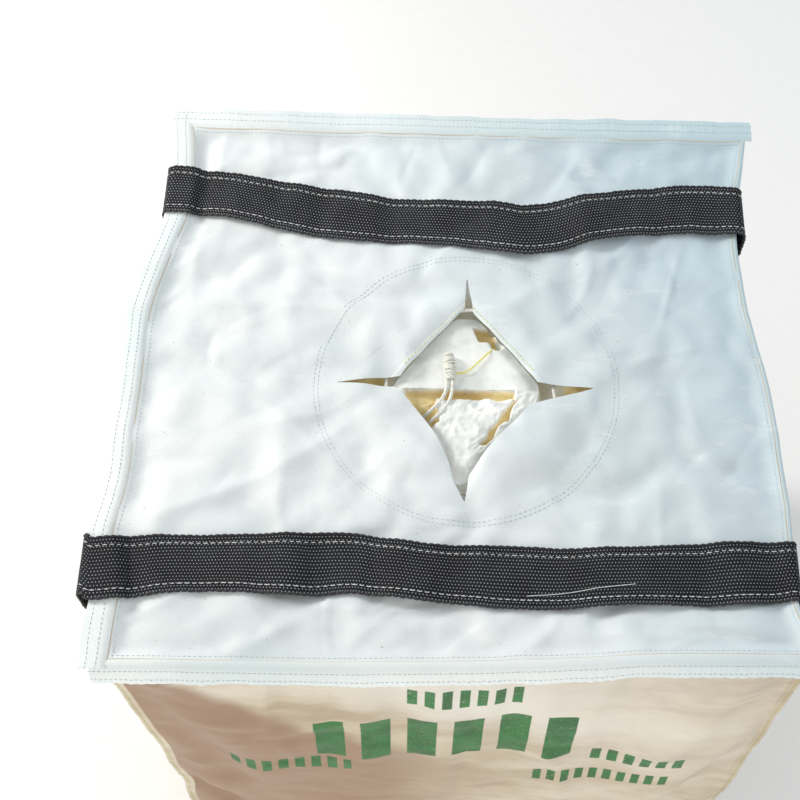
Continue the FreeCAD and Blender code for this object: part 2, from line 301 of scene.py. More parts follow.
# %% Paint the coated cloth
TAPE = 2.6 * MM


def weave(paint):
    """Height of flat tapes that pass over and under each other, from 0 to 1."""
    across, along, _ = paint.split(paint.cloth_place())
    across, along = across / TAPE, along / TAPE
    parity = (across.math("FLOOR") + along.math("FLOOR")).math("MODULO", 2.0).math("ABSOLUTE")
    domes = []
    for course in (across.math("FRACT"), along.math("FRACT")):
        from_middle = (course * 2.0 - 1.0).math("ABSOLUTE")
        domes.append(1 - from_middle.math("POWER", 4.0))
    return domes[0] * parity + domes[1] * (1 - parity)


def coated_cloth(name, light, shade, painted_sky_blue, specks=0.0):
    """Woven cloth under a film: two near tones in patches, a painted bluish skylight tint towards the right,
    fine creases.
    """
    paint = Paint(name)
    place = paint.place()
    right, back, _ = paint.split(place)
    tapes = weave(paint)
    patches = paint.noise(place, 3.1, 4.0, 0.6)
    rubbed = paint.noise(paint.stretched(place, (9.0, 23.0, 9.0)), 1.6, 5.0, 0.65)
    crackle = paint.cells(paint.stretched(place, (1.0, 1.4, 1.0)), 13.0)
    colour = paint.mix(patches.above(0.5, 0.36), shade, light)
    # painted skylight: the cloth turns bluish towards the right and a little towards the back
    painted_sky_tint = (right + back * 0.45 + patches * 0.5 - 0.25).above(0.22, 0.75)
    colour = paint.mix(painted_sky_tint * 0.8, colour, painted_sky_blue)
    colour = paint.mix((1 - tapes) * 0.10, colour, (0.42, 0.47, 0.47))
    colour = paint.mix(rubbed.above(0.63, 0.14) * 0.22, colour, (0.93, 0.94, 0.94))
    if specks:
        dust = paint.noise(place, 210.0, 1.0, 0.4).above(0.80, 0.03)
        colour = paint.mix(dust * specks, colour, (0.20, 0.17, 0.10))
    creases = paint.bump(crackle, 2.2 * MM, 0.35)
    grain = paint.bump(tapes + rubbed * 1.5, 0.16 * MM, 0.8, creases)
    gloss = 0.38 + patches * 0.14 + (1 - tapes) * 0.06
    return paint.finish(Base_Color=colour, Roughness=gloss, Normal=grain, Sheen_Weight=0.08)


# the third colour of each is the painted bluish skylight tint
base_paint = coated_cloth("base_cloth", (0.80, 0.835, 0.835), (0.64, 0.70, 0.705), (0.45, 0.585, 0.655), 0.5)
hem_paint = coated_cloth("hem_cloth", (0.83, 0.87, 0.86), (0.68, 0.76, 0.76), (0.46, 0.62, 0.67))
print("base cloth and hem cloth")


# %% Paint the walls and their print
def wall_cloth(name, printed):
    """Thin beige cloth, paler where it is rubbed and brown where shade is painted along its folds; the
    printed wall also gets a painted sunlit patch and painted shade.
    """
    paint = Paint(name)
    place = paint.place()
    right, _, up = paint.split(place)
    tapes = weave(paint)
    clouds = paint.noise(paint.stretched(place, (1.0, 1.0, 1.6)), 2.3, 5.0, 0.62)
    streaks = paint.noise(paint.stretched(place, (2.2, 2.2, 8.0)), 1.7, 5.0, 0.65)
    colour = paint.mix(clouds.above(0.5, 0.42), (0.46, 0.37, 0.25), (0.68, 0.60, 0.46))
    colour = paint.mix(streaks.above(0.58, 0.22) * 0.5, colour, (0.76, 0.72, 0.63))
    # painted shade: brown where the streak noise is low
    colour = paint.mix(streaks.above(0.40, 0.16) * -0.45 + 0.45, colour, (0.36, 0.24, 0.15))
    colour = paint.mix((1 - tapes) * 0.16, colour, (0.34, 0.26, 0.16))
    if printed:
        # painted light and shade on the printed wall: a pale sunlit patch towards the top, weaker to the
        # right, and brown shade low on the left
        painted_sunlit_patch = (up - TOP + right * 0.55 + 0.13 + clouds * 0.12).above(0.0, 0.14)
        painted_sunlit_patch = painted_sunlit_patch * (1 - (right - 0.10).above(0.12, 0.5) * 0.75)
        colour = paint.mix(painted_sunlit_patch * 0.72, colour, (0.80, 0.78, 0.72))
        slant = (right + 0.40).math("MAXIMUM", 0.0).math("POWER", 0.75) * 0.7 + 0.03
        shaded = (TOP - up - slant + clouds * 0.08 - 0.03).above(0.0, 0.05) * (1 - right.above(-0.02, 0.30))
        colour = paint.mix(shaded * 0.85, colour, (0.29, 0.165, 0.095))
        ink, mask = print_marks(paint, right, up, tapes)
        colour = paint.mix(mask, colour, ink)
    creases = paint.bump(paint.cells(place, 11.0) + streaks * 0.8, 3.0 * MM, 0.35)
    grain = paint.bump(tapes, 0.16 * MM, 0.8, creases)
    gloss = 0.42 + clouds * 0.2
    return paint.finish(Base_Color=colour, Roughness=gloss, Normal=grain, Sheen_Weight=0.05)


def print_marks(paint, right, up, tapes):
    """Plain bars of green ink: one row of tall blocks, a short row above it and three small rows below."""
    rows = (
        # height of the middle below the base, half height, left end, right end, pitch, share inked
        (0.118, 0.026, -0.070, 0.092, 0.0235, 0.60),
        (0.270, 0.072, -0.200, 0.190, 0.0650, 0.66),
        (0.372, 0.020, -0.330, -0.150, 0.0240, 0.62),
        (0.352, 0.020, 0.200, 0.340, 0.0240, 0.62),
        (0.425, 0.018, 0.120, 0.330, 0.0210, 0.60),
    )
    mask = None
    for below, half, left, stop, pitch, share in rows:
        band = (up - (TOP - below)).math("ABSOLUTE").above(half, 0.0012)
        course = ((right - left) / pitch).math("FRACT")
        block = course.inside(0.02, share, 0.0014 / pitch)
        row = (1 - band) * block * right.inside(left, stop, 0.0008)
        mask = row if mask is None else mask.math("MAXIMUM", row)
    worn = paint.noise(paint.place(), 170.0, 3.0, 0.7).above(0.36, 0.12)
    wet = paint.noise(paint.place(), 30.0, 3.0, 0.6)
    ink = paint.mix(wet.above(0.5, 0.3), (0.002, 0.105, 0.010), (0.004, 0.165, 0.020))
    return ink, mask * (worn * 0.3 + 0.7) * (tapes * 0.12 + 0.88)


printed_paint = wall_cloth("front_wall_cloth", True)
wall_paint = wall_cloth("wall_cloth", False)
print("wall cloth, plain and printed")

# %% [markdown]
# ## Webbing, thread and cord
#
# The belts are a coarse black webbing: thick yarns side by side, tied down by a fine pale thread
# that comes up as a regular grid of tiny dots. Its own UV map gives the place along and across the
# belt in metres, so that the dots keep their spacing wherever the belt bends.

# %% Paint the webbing, threads and cords
def webbing():
    paint = Paint("belt_webbing")
    along, across, _ = paint.split(paint.cloth_place())
    row = across / (4.6 * MM)
    shift = row.math("FLOOR").math("MODULO", 2.0).math("ABSOLUTE") * 0.5
    step = (along / (4.4 * MM) + shift).math("FRACT") - 0.5
    side = row.math("FRACT") - 0.5
    far = (step * step * 1.0 + side * side * 1.1).math("SQRT")
    fuzz = paint.noise(paint.place(), 900.0, 2.0, 0.6)
    dots = 1 - (far + fuzz * 0.10).above(0.21, 0.08)
    worn = paint.noise(paint.place(), 19.0, 4.0, 0.6)
    ribs = (along * (2 * math.pi / (2.2 * MM))).math("SINE") * 0.5 + 0.5
    colour = paint.mix(worn.above(0.5, 0.3), (0.0035, 0.0042, 0.006), (0.011, 0.0125, 0.017))
    colour = paint.mix(ribs * 0.3, colour, (0.022, 0.024, 0.030))
    colour = paint.mix(dots * (worn * 0.5 + 0.35), colour, (0.62, 0.64, 0.66))
    yarns = ribs * (1 - (side * 2.0).math("POWER", 2.0)) + dots * 0.8
    grain = paint.bump(yarns, 0.55 * MM, 0.9)
    return paint.finish(Base_Color=colour, Roughness=0.66 + worn * 0.2, Normal=grain, Specular_IOR_Level=0.22)


def yarn(name, light, shade, scale=700.0, rough=0.6):
    """Twisted thread or cord: fine fibres in two tones."""
    paint = Paint(name)
    fibres = paint.noise(paint.stretched(paint.place(), (1.0, 0.6, 1.5)), scale, 3.0, 0.6)
    strands = paint.cells(paint.place(), scale * 0.45)
    colour = paint.mix(fibres.above(0.5, 0.4), shade, light)
    grain = paint.bump(strands + fibres, 0.5 * MM, 0.6)
    return paint.finish(Base_Color=colour, Roughness=rough + fibres * 0.15, Normal=grain, Sheen_Weight=0.2)


webbing_paint = webbing()
white_thread = yarn("white_thread", (0.86, 0.87, 0.85), (0.60, 0.62, 0.60))
grey_thread = yarn("grey_thread", (0.66, 0.72, 0.72), (0.42, 0.50, 0.50))
black_yarn = yarn("black_yarn", (0.014, 0.015, 0.019), (0.003, 0.0035, 0.005))
white_cord = yarn("white_cord", (0.88, 0.88, 0.83), (0.58, 0.58, 0.50), 420.0)
yellow_twine = yarn("yellow_twine", (0.90, 0.80, 0.10), (0.62, 0.55, 0.06), 500.0, 0.45)
green_thread = yarn("green_thread", (0.62, 0.66, 0.18), (0.36, 0.40, 0.10))
print("webbing, threads and cords")


# %% Paint the spout and its lining
def spout_cloth(name, light, shade, glow):
    """Thin white cloth, yellowish where its inside shows; glow is a faint light of its own colour."""
    paint = Paint(name)
    place = paint.place()
    tapes = weave(paint)
    clouds = paint.noise(place, 16.0, 4.0, 0.6)
    folds = paint.cells(place, 42.0)
    colour = paint.mix(clouds.above(0.5, 0.3), shade, light)
    inside = paint.node("ShaderNodeAttribute", {"attribute_name": "lining"})["Fac"]
    ochre = paint.mix(clouds.above(0.5, 0.3), (0.58, 0.42, 0.16), (0.82, 0.68, 0.35))
    colour = paint.mix(inside, colour, ochre)
    colour = paint.mix((1 - tapes) * 0.08, colour, (0.5, 0.48, 0.36))
    creases = paint.bump(folds + clouds, 1.6 * MM, 0.5)
    grain = paint.bump(tapes, 0.14 * MM, 0.7, creases)
    paint.shader.inputs["Emission Strength"].default_value = glow
    return paint.finish(Base_Color=colour, Roughness=0.45 + clouds * 0.1, Normal=grain, Emission_Color=colour)


spout_paint = spout_cloth("spout_cloth", (0.84, 0.85, 0.82), (0.62, 0.65, 0.62), 0.14)
print("spout cloth and its lining")

# %% [markdown]
# ## The sack as a cloth simulation
#
# The base and the four walls are one sack, so they wrinkle together. They could be wrinkled one by
# one with noise, but then they would not meet at the seams. Here a coarse net of all five panels is
# sewn at its edges and let go as cloth that is a little too big for its frame, with its rim and seams
# held. It buckles as real cloth does, and each panel then takes its finer points from that net.

# %% Lay out the five panels
class Panel:
    """One side of the sack: where it starts, which way it runs, and later its wrinkled points."""

    def __init__(self, start, across, up, width, height, step):
        self.start, self.across, self.up = np.array(start), np.array(across), np.array(up)
        self.normal = np.cross(self.across, self.up)
        self.width, self.height, self.step = width, height, step
        self.points = None

    def flat(self, across, up):
        """Places on the flat panel, for arrays of metres across and up it."""
        return self.start + across[..., None] * self.across + up[..., None] * self.up

    def net(self, step):
        """Metres across and up for a regular net of about that step."""
        columns = round(self.width / step) + 1
        rows = round(self.height / step) + 1
        return np.meshgrid(np.linspace(0, self.width, columns), np.linspace(0, self.height, rows))

    def at(self, across, up):
        """Places on the wrinkled panel, each blended from its four nearest points."""
        rows, columns = self.points.shape[:2]
        column = np.clip(np.asarray(across) / self.width, 0, 1) * (columns - 1)
        row = np.clip(np.asarray(up) / self.height, 0, 1) * (rows - 1)
        left = np.minimum(column.astype(int), columns - 2)
        low = np.minimum(row.astype(int), rows - 2)
        share, rise = (column - left)[..., None], (row - low)[..., None]
        below = self.points[low, left] * (1 - share) + self.points[low, left + 1] * share
        above = self.points[low + 1, left] * (1 - share) + self.points[low + 1, left + 1] * share
        return below * (1 - rise) + above * rise


WIDE = 2 * HALF
panels = {
    "base": Panel((-HALF, -HALF, TOP), (1, 0, 0), (0, 1, 0), WIDE, WIDE, 5 * MM),
    "front": Panel((-HALF, -HALF, 0), (1, 0, 0), (0, 0, 1), WIDE, TOP, 6 * MM),
    "back": Panel((HALF, HALF, 0), (-1, 0, 0), (0, 0, 1), WIDE, TOP, 6 * MM),
    "left": Panel((-HALF, HALF, 0), (0, -1, 0), (0, 0, 1), WIDE, TOP, 6 * MM),
    "right": Panel((HALF, -HALF, 0), (0, 1, 0), (0, 0, 1), WIDE, TOP, 6 * MM),
}
COARSE = 18 * MM
print("panels", {name: (round(panel.width, 3), round(panel.height, 3)) for name, panel in panels.items()})

# %% Sew the coarse net
def sewn_net():
    """All five coarse nets in one mesh, sewn where their edges meet, and each panel's vertex numbers."""
    places, faces, numbers, found = [], [], {}, {}
    for name, panel in panels.items():
        flat = panel.flat(*panel.net(COARSE))
        rows, columns = flat.shape[:2]
        own = np.zeros((rows, columns), dtype=int)
        for row in range(rows):
            for column in range(columns):
                place = tuple(round(value, 4) for value in flat[row, column])
                if place not in found:
                    found[place] = len(places)
                    places.append(place)
                own[row, column] = found[place]
        corners = (own[:-1, :-1], own[:-1, 1:], own[1:, 1:], own[1:, :-1])
        faces.extend(np.stack(corners, axis=-1).reshape(-1, 4).tolist())
        numbers[name] = own
    return places, faces, numbers


def hold(place):
    """How firmly a point of the sack is held, from 0 to 1: rim, seams, belts, and the stiff base."""
    x, y, z = place
    if z < 1 * MM:
        return 1.0
    edges = (abs(abs(x) - HALF) < 1 * MM, abs(abs(y) - HALF) < 1 * MM, abs(z - TOP) < 1 * MM)
    if edges[2]:
        return 0.9 if edges[0] or edges[1] else 0.32
    if edges[0] and edges[1]:
        return 0.6
    under_belt = min(abs(y - BELT["front"]), abs(y - BELT["back"])) < BELT_WIDTH / 2
    return 0.45 if under_belt and edges[0] else 0.0


net_places, net_faces, net_numbers = sewn_net()
print("net of", len(net_places), "points and", len(net_faces), "faces")

# %% Let the sack settle
SETTLE_FRAMES = 24
SETTLE_SEED = 4
MOST_MOVE = 0.030
UNEVEN = 0.003


def settle(places, faces):
    """Where each point of the sack ends up after it has been let go as cloth."""
    mesh = bpy.data.meshes.new("sack_net")
    # without a seed, noise_vector takes its offset from the clock and the cloth settles anew each run
    noise.seed_set(SETTLE_SEED)
    start = [Vector(place) + UNEVEN * noise.noise_vector(Vector(place) * 7) for place in places]
    held = [hold(place) for place in places]
    start = [Vector(p) if h == 1 else s for p, s, h in zip(places, start, held)]
    mesh.from_pydata(start, [], faces)
    net = bpy.data.objects.new("sack_net", mesh)
    bpy.context.scene.collection.objects.link(net)
    group = net.vertex_groups.new(name="held")
    for number, weight in enumerate(held):
        group.add([number], weight, "REPLACE")
    cloth = net.modifiers.new("cloth", "CLOTH")
    settings = cloth.settings
    settings.quality = 6
    settings.mass = 0.25
    settings.tension_stiffness, settings.compression_stiffness = 25, 25
    settings.shear_stiffness, settings.bending_stiffness = 12, 1.2
    settings.air_damping = 2.5
    settings.shrink_min = -0.020
    settings.vertex_group_mass = "held"
    settings.pin_stiffness = 1.0
    settings.use_pressure = True
    settings.uniform_pressure_force = 0.35
    cloth.collision_settings.use_collision = False
    cloth.point_cache.frame_start, cloth.point_cache.frame_end = 1, SETTLE_FRAMES
    scene = bpy.context.scene
    for frame_number in range(1, SETTLE_FRAMES + 1):
        scene.frame_set(frame_number)
    done = net.evaluated_get(bpy.context.evaluated_depsgraph_get())
    settled = np.array([vertex.co[:] for vertex in done.data.vertices])
    scene.frame_set(1)
    bpy.data.objects.remove(net)
    bpy.data.meshes.remove(mesh)
    return settled


net_moves = settle(net_places, net_faces) - np.array(net_places)
far = np.linalg.norm(net_moves, axis=1, keepdims=True)
net_moves *= np.minimum(1, MOST_MOVE / np.maximum(far, 1e-6))
farthest = float(np.linalg.norm(net_moves, axis=1).max())
print("the net moved up to", round(farthest, 4), "m")

# %% [markdown]
# ## Creases from folding and packing
#
# Bags are pressed flat into bales, and the creases stay: short straight ridges that taper out at
# both ends, crumpled facets between them, and long low folds on the slack walls. The front flaps of
# the star swell like shallow lenses, because the gathered spout pushes up under them.

# %% Write the creases as heights
def smooth(value, low, high):
    """0 below low, 1 above high, smooth between."""
    share = np.clip((value - low) / (high - low), 0, 1)
    return share * share * (3 - 2 * share)


def bump_at(value, middle, width):
    """1 at the middle, falling to nothing over about the width."""
    return np.exp(-(((value - middle) / width) ** 2))


def folds(across, up, count, height, width, reach, slant, spread, seed):
    """Height of scattered straight creases, each tapering out at both ends."""
    dice = random.Random(seed)
    total = np.zeros_like(across)
    for _ in range(count):
        middle_x = dice.uniform(across.min(), across.max())
        middle_y = dice.uniform(up.min(), up.max())
        turn = math.radians(slant + dice.gauss(0, spread))
        wide = width * dice.uniform(0.5, 1.5)
        run = reach * dice.uniform(0.5, 1.5)
        tall = height * dice.uniform(0.35, 1) * dice.choice((1, 1, -1))
        along = (across - middle_x) * math.cos(turn) + (up - middle_y) * math.sin(turn)
        aside = (up - middle_y) * math.cos(turn) - (across - middle_x) * math.sin(turn)
        aside = aside + dice.uniform(-0.25, 0.25) * along**2 / run
        total += tall * np.exp(-np.sqrt((aside / wide) ** 2 + 0.06)) * np.exp(-((along / run) ** 4))
    return total


def crumple(places, size, seed):
    """Facets of crumpled cloth, from 0 at their edges to about 1 in their middles."""
    shift = Vector((seed, 2.0 * seed, 0))
    heights = []
    for place in places.reshape(-1, 3):
        spot = Vector(place) / size + shift
        spot += 0.35 * noise.noise_vector(spot * 1.3)
        near, next_near = noise.voronoi(spot)[0][:2]
        heights.append(min(1.0, (next_near - near) * 1.6))
    return np.array(heights).reshape(places.shape[:2])


def rolling(places, size, seed):
    """Slow swells of the cloth, about -1 to 1."""
    shift = Vector((seed, 0, 3.0 * seed))
    heights = [noise.fractal(Vector(place) / size + shift, 0.9, 2.1, 3) for place in places.reshape(-1, 3)]
    return np.array(heights).reshape(places.shape[:2])


print("folds, crumple and rolling are ready")

# %% Say where each panel is creased
SWELL_REACH = 0.183
SWELL = {(1, -1): 15 * MM, (-1, -1): 7 * MM, (1, 1): 2.5 * MM, (-1, 1): 3 * MM}


def star_lift(x, y):
    """How far the cloth stands up round the star, a shallow lens in each quarter."""
    right, back = x - STAR.x, y - STAR.y
    far = np.hypot(right, back) / SWELL_REACH
    quarter = np.sqrt(np.abs(np.sin(2 * np.arctan2(back, right))))
    rise = np.sin(np.pi * np.clip((1 - far) / 0.7, 0, 1))
    tall = sum(height * (np.sign(right) == sx) * (np.sign(back) == sy) for (sx, sy), height in SWELL.items())
    return tall * quarter * rise


def relief(name, panel, across, up, flat):
    """Height of one panel's creases over its flat place, nothing along its seams."""
    border = np.minimum(np.minimum(across, panel.width - across), np.minimum(up, panel.height - up))
    if name == "base":
        height = 3.4 * MM * rolling(flat, 0.24, 1) + 2.6 * MM * crumple(flat, 0.085, 2)
        height += folds(across, up, 120, 3.4 * MM, 6 * MM, 0.055, 20, 60, 3)
        height += folds(across, up, 24, 5 * MM, 15 * MM, 0.15, 5, 35, 4)
        height -= 3 * MM
        near_star = smooth(np.hypot(flat[..., 0] - STAR.x, flat[..., 1] - STAR.y), 0.10, 0.24)
        return height * smooth(border, 0, 0.02) * (0.45 + 0.55 * near_star)
    seed = 10 + 5 * list(panels).index(name)
    height = 9 * MM * rolling(flat * (1, 1, 1.8), 0.34, seed)
    height = height + 4 * MM * crumple(flat * (1, 1, 1.5), 0.14, seed)
    height += folds(across, up, 26, 8 * MM, 17 * MM, 0.17, 12, 22, seed + 1)
    height += folds(across, up, 60, 3 * MM, 7 * MM, 0.07, 30, 60, seed + 2)
    height += folds(across, up, 10, 9 * MM, 22 * MM, 0.24, 80, 14, seed + 3)
    if name == "left":
        along = flat[..., 1]
        free = 1 - bump_at(along, BELT["front"], 0.05) * 0.7
        tall = smooth(along, -0.43, -0.38) * (1 - smooth(along, 0.19, 0.27)) * free
        height *= 1 - 0.75 * tall * smooth(up, TOP - 0.35, TOP - 0.15)
        height += 0.026 * tall * bump_at(up, TOP - 0.058, 0.075) + 0.014 * tall * bump_at(up, TOP - 0.2, 0.12)
    return height * smooth(border, 0, 0.045)


def calm(name, flat):
    """Share of wrinkles left in a wall: few where the two plies of webbing are sewn at its foot."""
    if name not in ("left", "right"):
        return np.ones(flat.shape[:2])
    beside = np.minimum(np.abs(flat[..., 1] - BELT["front"]), np.abs(flat[..., 1] - BELT["back"]))
    return 1 - 0.93 * (1 - smooth(beside, 0.05, 0.12)) * (1 - smooth(flat[..., 2], LEG_TOP, LEG_TOP + 0.16))


def waist(points):
    """Behind the middle the right edge is drawn in; the left one flares out between the belts."""
    x, y = points[..., 0].copy(), points[..., 1]
    pulled = 0.036 * bump_at(y, 0.22, 0.20) * smooth(x, 0.15, HALF)
    flared = 0.029 * smooth(y, -0.33, -0.24) * (1 - smooth(y, 0.08, 0.27))
    flared -= 0.012 * bump_at(y, 0.31, 0.09)
    points[..., 0] -= (pulled + flared * smooth(-x, 0.15, HALF)) * smooth(points[..., 2], 0.45, TOP)
    return points


def lean(points):
    """The front edge is drawn back, most of all on the right, and the front left corner bulges out."""
    x, y, z = points[..., 0].copy(), points[..., 1].copy(), points[..., 2].copy()
    near_front = smooth(-y, 0.30, HALF)
    to_right = smooth(x, -0.25, HALF)
    points[..., 1] += (0.007 + 0.027 * to_right) * near_front * smooth(z, 0.55, TOP)
    points[..., 2] += 0.014 * smooth(x, -0.05, HALF) * near_front * smooth(z, 0.85, TOP)
    corner = smooth(-x, 0.22, HALF) * smooth(-y, 0.12, 0.40)
    points[..., 0] -= 0.023 * corner * smooth(z, 0.60, 1.05)
    points[..., 0] += 0.010 * smooth(x, 0.22, HALF) * near_front * smooth(z, 0.60, 1.05)
    return points


print("swell of the front right flap", star_lift(np.array(0.08), np.array(-0.09)))

# %% Work out every panel's wrinkled points
def smoothing(fine, coarse):
    """Each fine point as a cubic blend of four coarse ones, exact at both ends."""
    weights = np.zeros((fine, coarse))
    for row, place in enumerate(np.linspace(0, coarse - 1, fine)):
        first = min(int(place), coarse - 2)
        t = place - first
        blend = ((1 - t) ** 3, 3 * t**3 - 6 * t**2 + 4, -3 * t**3 + 3 * t**2 + 3 * t + 1, t**3)
        for number, share in enumerate(blend, first - 1):
            inner = min(max(number, 0), coarse - 1)
            weights[row, inner] += share / 6
            if inner != number:
                weights[row, inner] += share / 6
                weights[row, inner + (1 if number < 0 else -1)] -= share / 6
    return weights


for name, panel in panels.items():
    across, up = panel.net(panel.step)
    flat = panel.flat(across, up)
    moves = net_moves[net_numbers[name]]
    rows, columns = across.shape
    finer = np.einsum(
        "ij,jkc,lk->ilc", smoothing(rows, moves.shape[0]), moves, smoothing(columns, moves.shape[1])
    )
    wrinkles = finer + relief(name, panel, across, up, flat)[..., None] * panel.normal
    panel.points = flat + wrinkles * calm(name, flat)[..., None]
    panel.points = lean(waist(panel.points))
    if name == "base":
        panel.points[..., 2] += star_lift(panel.points[..., 0], panel.points[..., 1])
star_low = float(panels["base"].points[80:90, 80:90, 2].mean())
count = sum(panel.points[..., 0].size for panel in panels.values())
print(f"base at the star {star_low:.4f},", count, "wrinkled points")


def base_height(x, y):
    """Height of the wrinkled base over any place on it."""
    base = panels["base"]
    across, up = np.asarray(x) + HALF, np.asarray(y) + HALF
    for _ in range(3):
        # the base leans: step back by as much as it has moved, until the place is met
        there = base.at(across, up)
        across = np.clip(across + x - there[..., 0], 0, WIDE)
        up = np.clip(up + y - there[..., 1], 0, WIDE)
    return base.at(across, up)[..., 2]


# %% [markdown]
# ## Sheets of cloth
#
# Every sheet is a net of quads through a grid of points, with a UV map in metres for the weave. It
# gets its thickness from a Solidify modifier, so that its edges are closed.

# %% Make a sheet from a grid of points
def sheet_piece(name, points, places, paint, thickness, body, node):
    """A sheet of quads over a grid of points, on a body, standing for a node or nodes of the frame."""
    rows, columns = points.shape[:2]
    number = np.arange(rows * columns).reshape(rows, columns)
    corners = (number[:-1, :-1], number[:-1, 1:], number[1:, 1:], number[1:, :-1])
    faces = np.stack(corners, axis=-1).reshape(-1, 4)
    mesh = bpy.data.meshes.new(name)
    mesh.from_pydata(points.reshape(-1, 3).tolist(), [], faces.tolist())
    lay_pattern(mesh, places)
    return finish_piece(name, mesh, paint, thickness, body, node)


def lay_pattern(mesh, places):
    """Give a mesh its UV map: the place of every vertex on the flat cloth, in metres."""
    layer = mesh.uv_layers.new(name="cloth")
    used = np.zeros(len(mesh.loops), dtype=np.int32)
    mesh.loops.foreach_get("vertex_index", used)
    layer.data.foreach_set("uv", places.reshape(-1, 2)[used].astype(np.float32).ravel())


def finish_piece(name, mesh, paint, thickness, body, node):
    """Put a mesh in the scene with its finish and thickness, and hide the part of the frame that it stands
    for.
    """
    mesh.materials.append(paint)
    mesh.shade_smooth()
    if thickness:
        # cut edges stay sharp, so that the thickness doesn't bend the light beside them
        build = bmesh.new()
        build.from_mesh(mesh)
        for edge in build.edges:
            edge.smooth = not edge.is_boundary
        build.to_mesh(mesh)
        build.free()
    piece = bpy.data.objects.new(name, mesh)
    bpy.context.scene.collection.objects.link(piece)
    if thickness:
        ply = piece.modifiers.new("ply", "SOLIDIFY")
        ply.thickness, ply.offset = thickness, -1
    if body:
        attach(piece, body)
    if node:
        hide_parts(*([node] if isinstance(node, str) else node))
    return piece


def lengths(points):
    """Metres along each row of a grid, starting at nothing."""
    steps = np.linalg.norm(np.diff(points, axis=1), axis=2)
    return np.concatenate((np.zeros((len(points), 1)), np.cumsum(steps, axis=1)), axis=1)


def normals(points):
    """Unit normals of a grid of points."""
    across, up = np.gradient(points, axis=1), np.gradient(points, axis=0)
    out = np.cross(across, up)
    return out / np.maximum(np.linalg.norm(out, axis=2, keepdims=True), 1e-9)


print("sheets can be made")

# %% Hang the four walls
CLOTH = 1.2 * MM
for name in ENDS + SIDES:
    panel = panels[name]
    across, up = panel.net(panel.step)
    wall = sheet_piece(
        f"wall_cloth_{name}", panel.points, np.stack((across, up), axis=-1),
        printed_paint if name == "front" else wall_paint, CLOTH, "bag", f"{name}_wall",
    )
print("four walls")

# %% [markdown]
# ## The base and the star
#
# The base cloth is cut as a cross, and the four flaps between the cuts fold back to let the spout
# out. Their tips are turned under, so a diamond is left open in the middle. The base is cut out of
# its sheet along the four lines that the flaps hinge on, and each flap is a patch between four
# edges: its hinge, the two sides of the cuts, and its turned inner edge.

# %% Cut the base cloth
def base_cloth_mesh():
    """The wrinkled base with the square of the star left out."""
    panel = panels["base"]
    across, up = panel.net(panel.step)
    build = bmesh.new()
    rows, columns = across.shape
    grid = [
        [build.verts.new((across[r, c] - HALF, up[r, c] - HALF, 0)) for c in range(columns)]
        for r in range(rows)
    ]
    for r in range(rows - 1):
        for c in range(columns - 1):
            build.faces.new((grid[r][c], grid[r][c + 1], grid[r + 1][c + 1], grid[r + 1][c]))
    for sx, sy in SWELL:
        near = [face for face in build.faces if (face.calc_center_median() - STAR).xy.length < SLIT * 1.2]
        parts = near + list(dict.fromkeys(edge for face in near for edge in face.edges))
        parts += list(dict.fromkeys(vertex for face in near for vertex in face.verts))
        corner = Vector((STAR.x + sx * SLIT, STAR.y, 0))
        bmesh.ops.bisect_plane(build, geom=parts, plane_co=corner, plane_no=(sx, sy, 0), dist=1e-5)
    inside = []
    for face in build.faces:
        middle = face.calc_center_median()
        if abs(middle.x - STAR.x) + abs(middle.y - STAR.y) < SLIT:
            inside.append(face)
    bmesh.ops.delete(build, geom=inside, context="FACES")
    layer = build.loops.layers.uv.new("cloth")
    for face in build.faces:
        for loop in face.loops:
            loop[layer].uv = loop.vert.co.xy + Vector((HALF, HALF))
    for vertex in build.verts:
        place = panel.at(np.array(vertex.co.x + HALF), np.array(vertex.co.y + HALF))
        vertex.co = place.tolist()
    mesh = bpy.data.meshes.new("base_cloth")
    build.to_mesh(mesh)
    build.free()
    return mesh


base = finish_piece("base_cloth", base_cloth_mesh(), base_paint, CLOTH, "bag", "base_panel")
WIDE**2 - 2 * SLIT**2
print("base cloth faces", len(base.data.polygons))

# %% Make the four flaps
FLAPS = {
    # millimetres from the star: ends of the inner edge by the cross cut and by the long cut, its pull
    ("back", "left"): ((-92, 14), (-3, 126), (-52, 70)),
    ("back", "right"): ((100, 9), (10, 118), (60, 66)),
    ("front", "left"): ((-100, -4), (-15, -146), (-28, -78)),
    ("front", "right"): ((90, -31), (6, -138), (44, -80)),
}


def flap_edges(end, side, steps):
    """The inner edge of a flap as flat places from the star, from the cross cut to the long cut."""
    first, last, pull = (np.array(place) * MM for place in FLAPS[end, side])
    share = np.linspace(0, 1, steps)[:, None]
    return first * (1 - share) ** 2 + 2 * pull * share * (1 - share) + last * share**2


def flap_grid(end, side, steps=49, rings=21):
    """A patch between the hinge, the two cuts and the inner edge; first axis runs inwards."""
    sx, sy = SIGN[side], SIGN[end]
    share = np.linspace(0, 1, steps)[:, None]
    hinge = np.array((sx * SLIT, sy * 0.4 * MM)) * (1 - share) + np.array((sx * 0.4 * MM, sy * SLIT)) * share
    inner = flap_edges(end, side, steps)
    inwards = np.concatenate(([-0.03], np.linspace(0, 1, rings - 1)))[:, None, None]
    flat = hinge[None] * (1 - inwards) + inner[None] * inwards
    places = np.zeros((rings, steps, 3))
    places[..., 0] = flat[..., 0] + STAR.x
    places[..., 1] = flat[..., 1] + STAR.y
    places[..., 2] = base_height(places[..., 0], places[..., 1])
    droop = (3.0 if end == "front" else 5.0) * MM
    inwards = np.maximum(inwards, 0)
    places[..., 2] -= droop * inwards[..., 0] ** 3 + 0.14 * MM
    wave = 1.2 * MM * np.sin(share[:, 0] * 17 + sx) * inwards[..., 0] ** 2
    places[..., 2] += wave
    return places


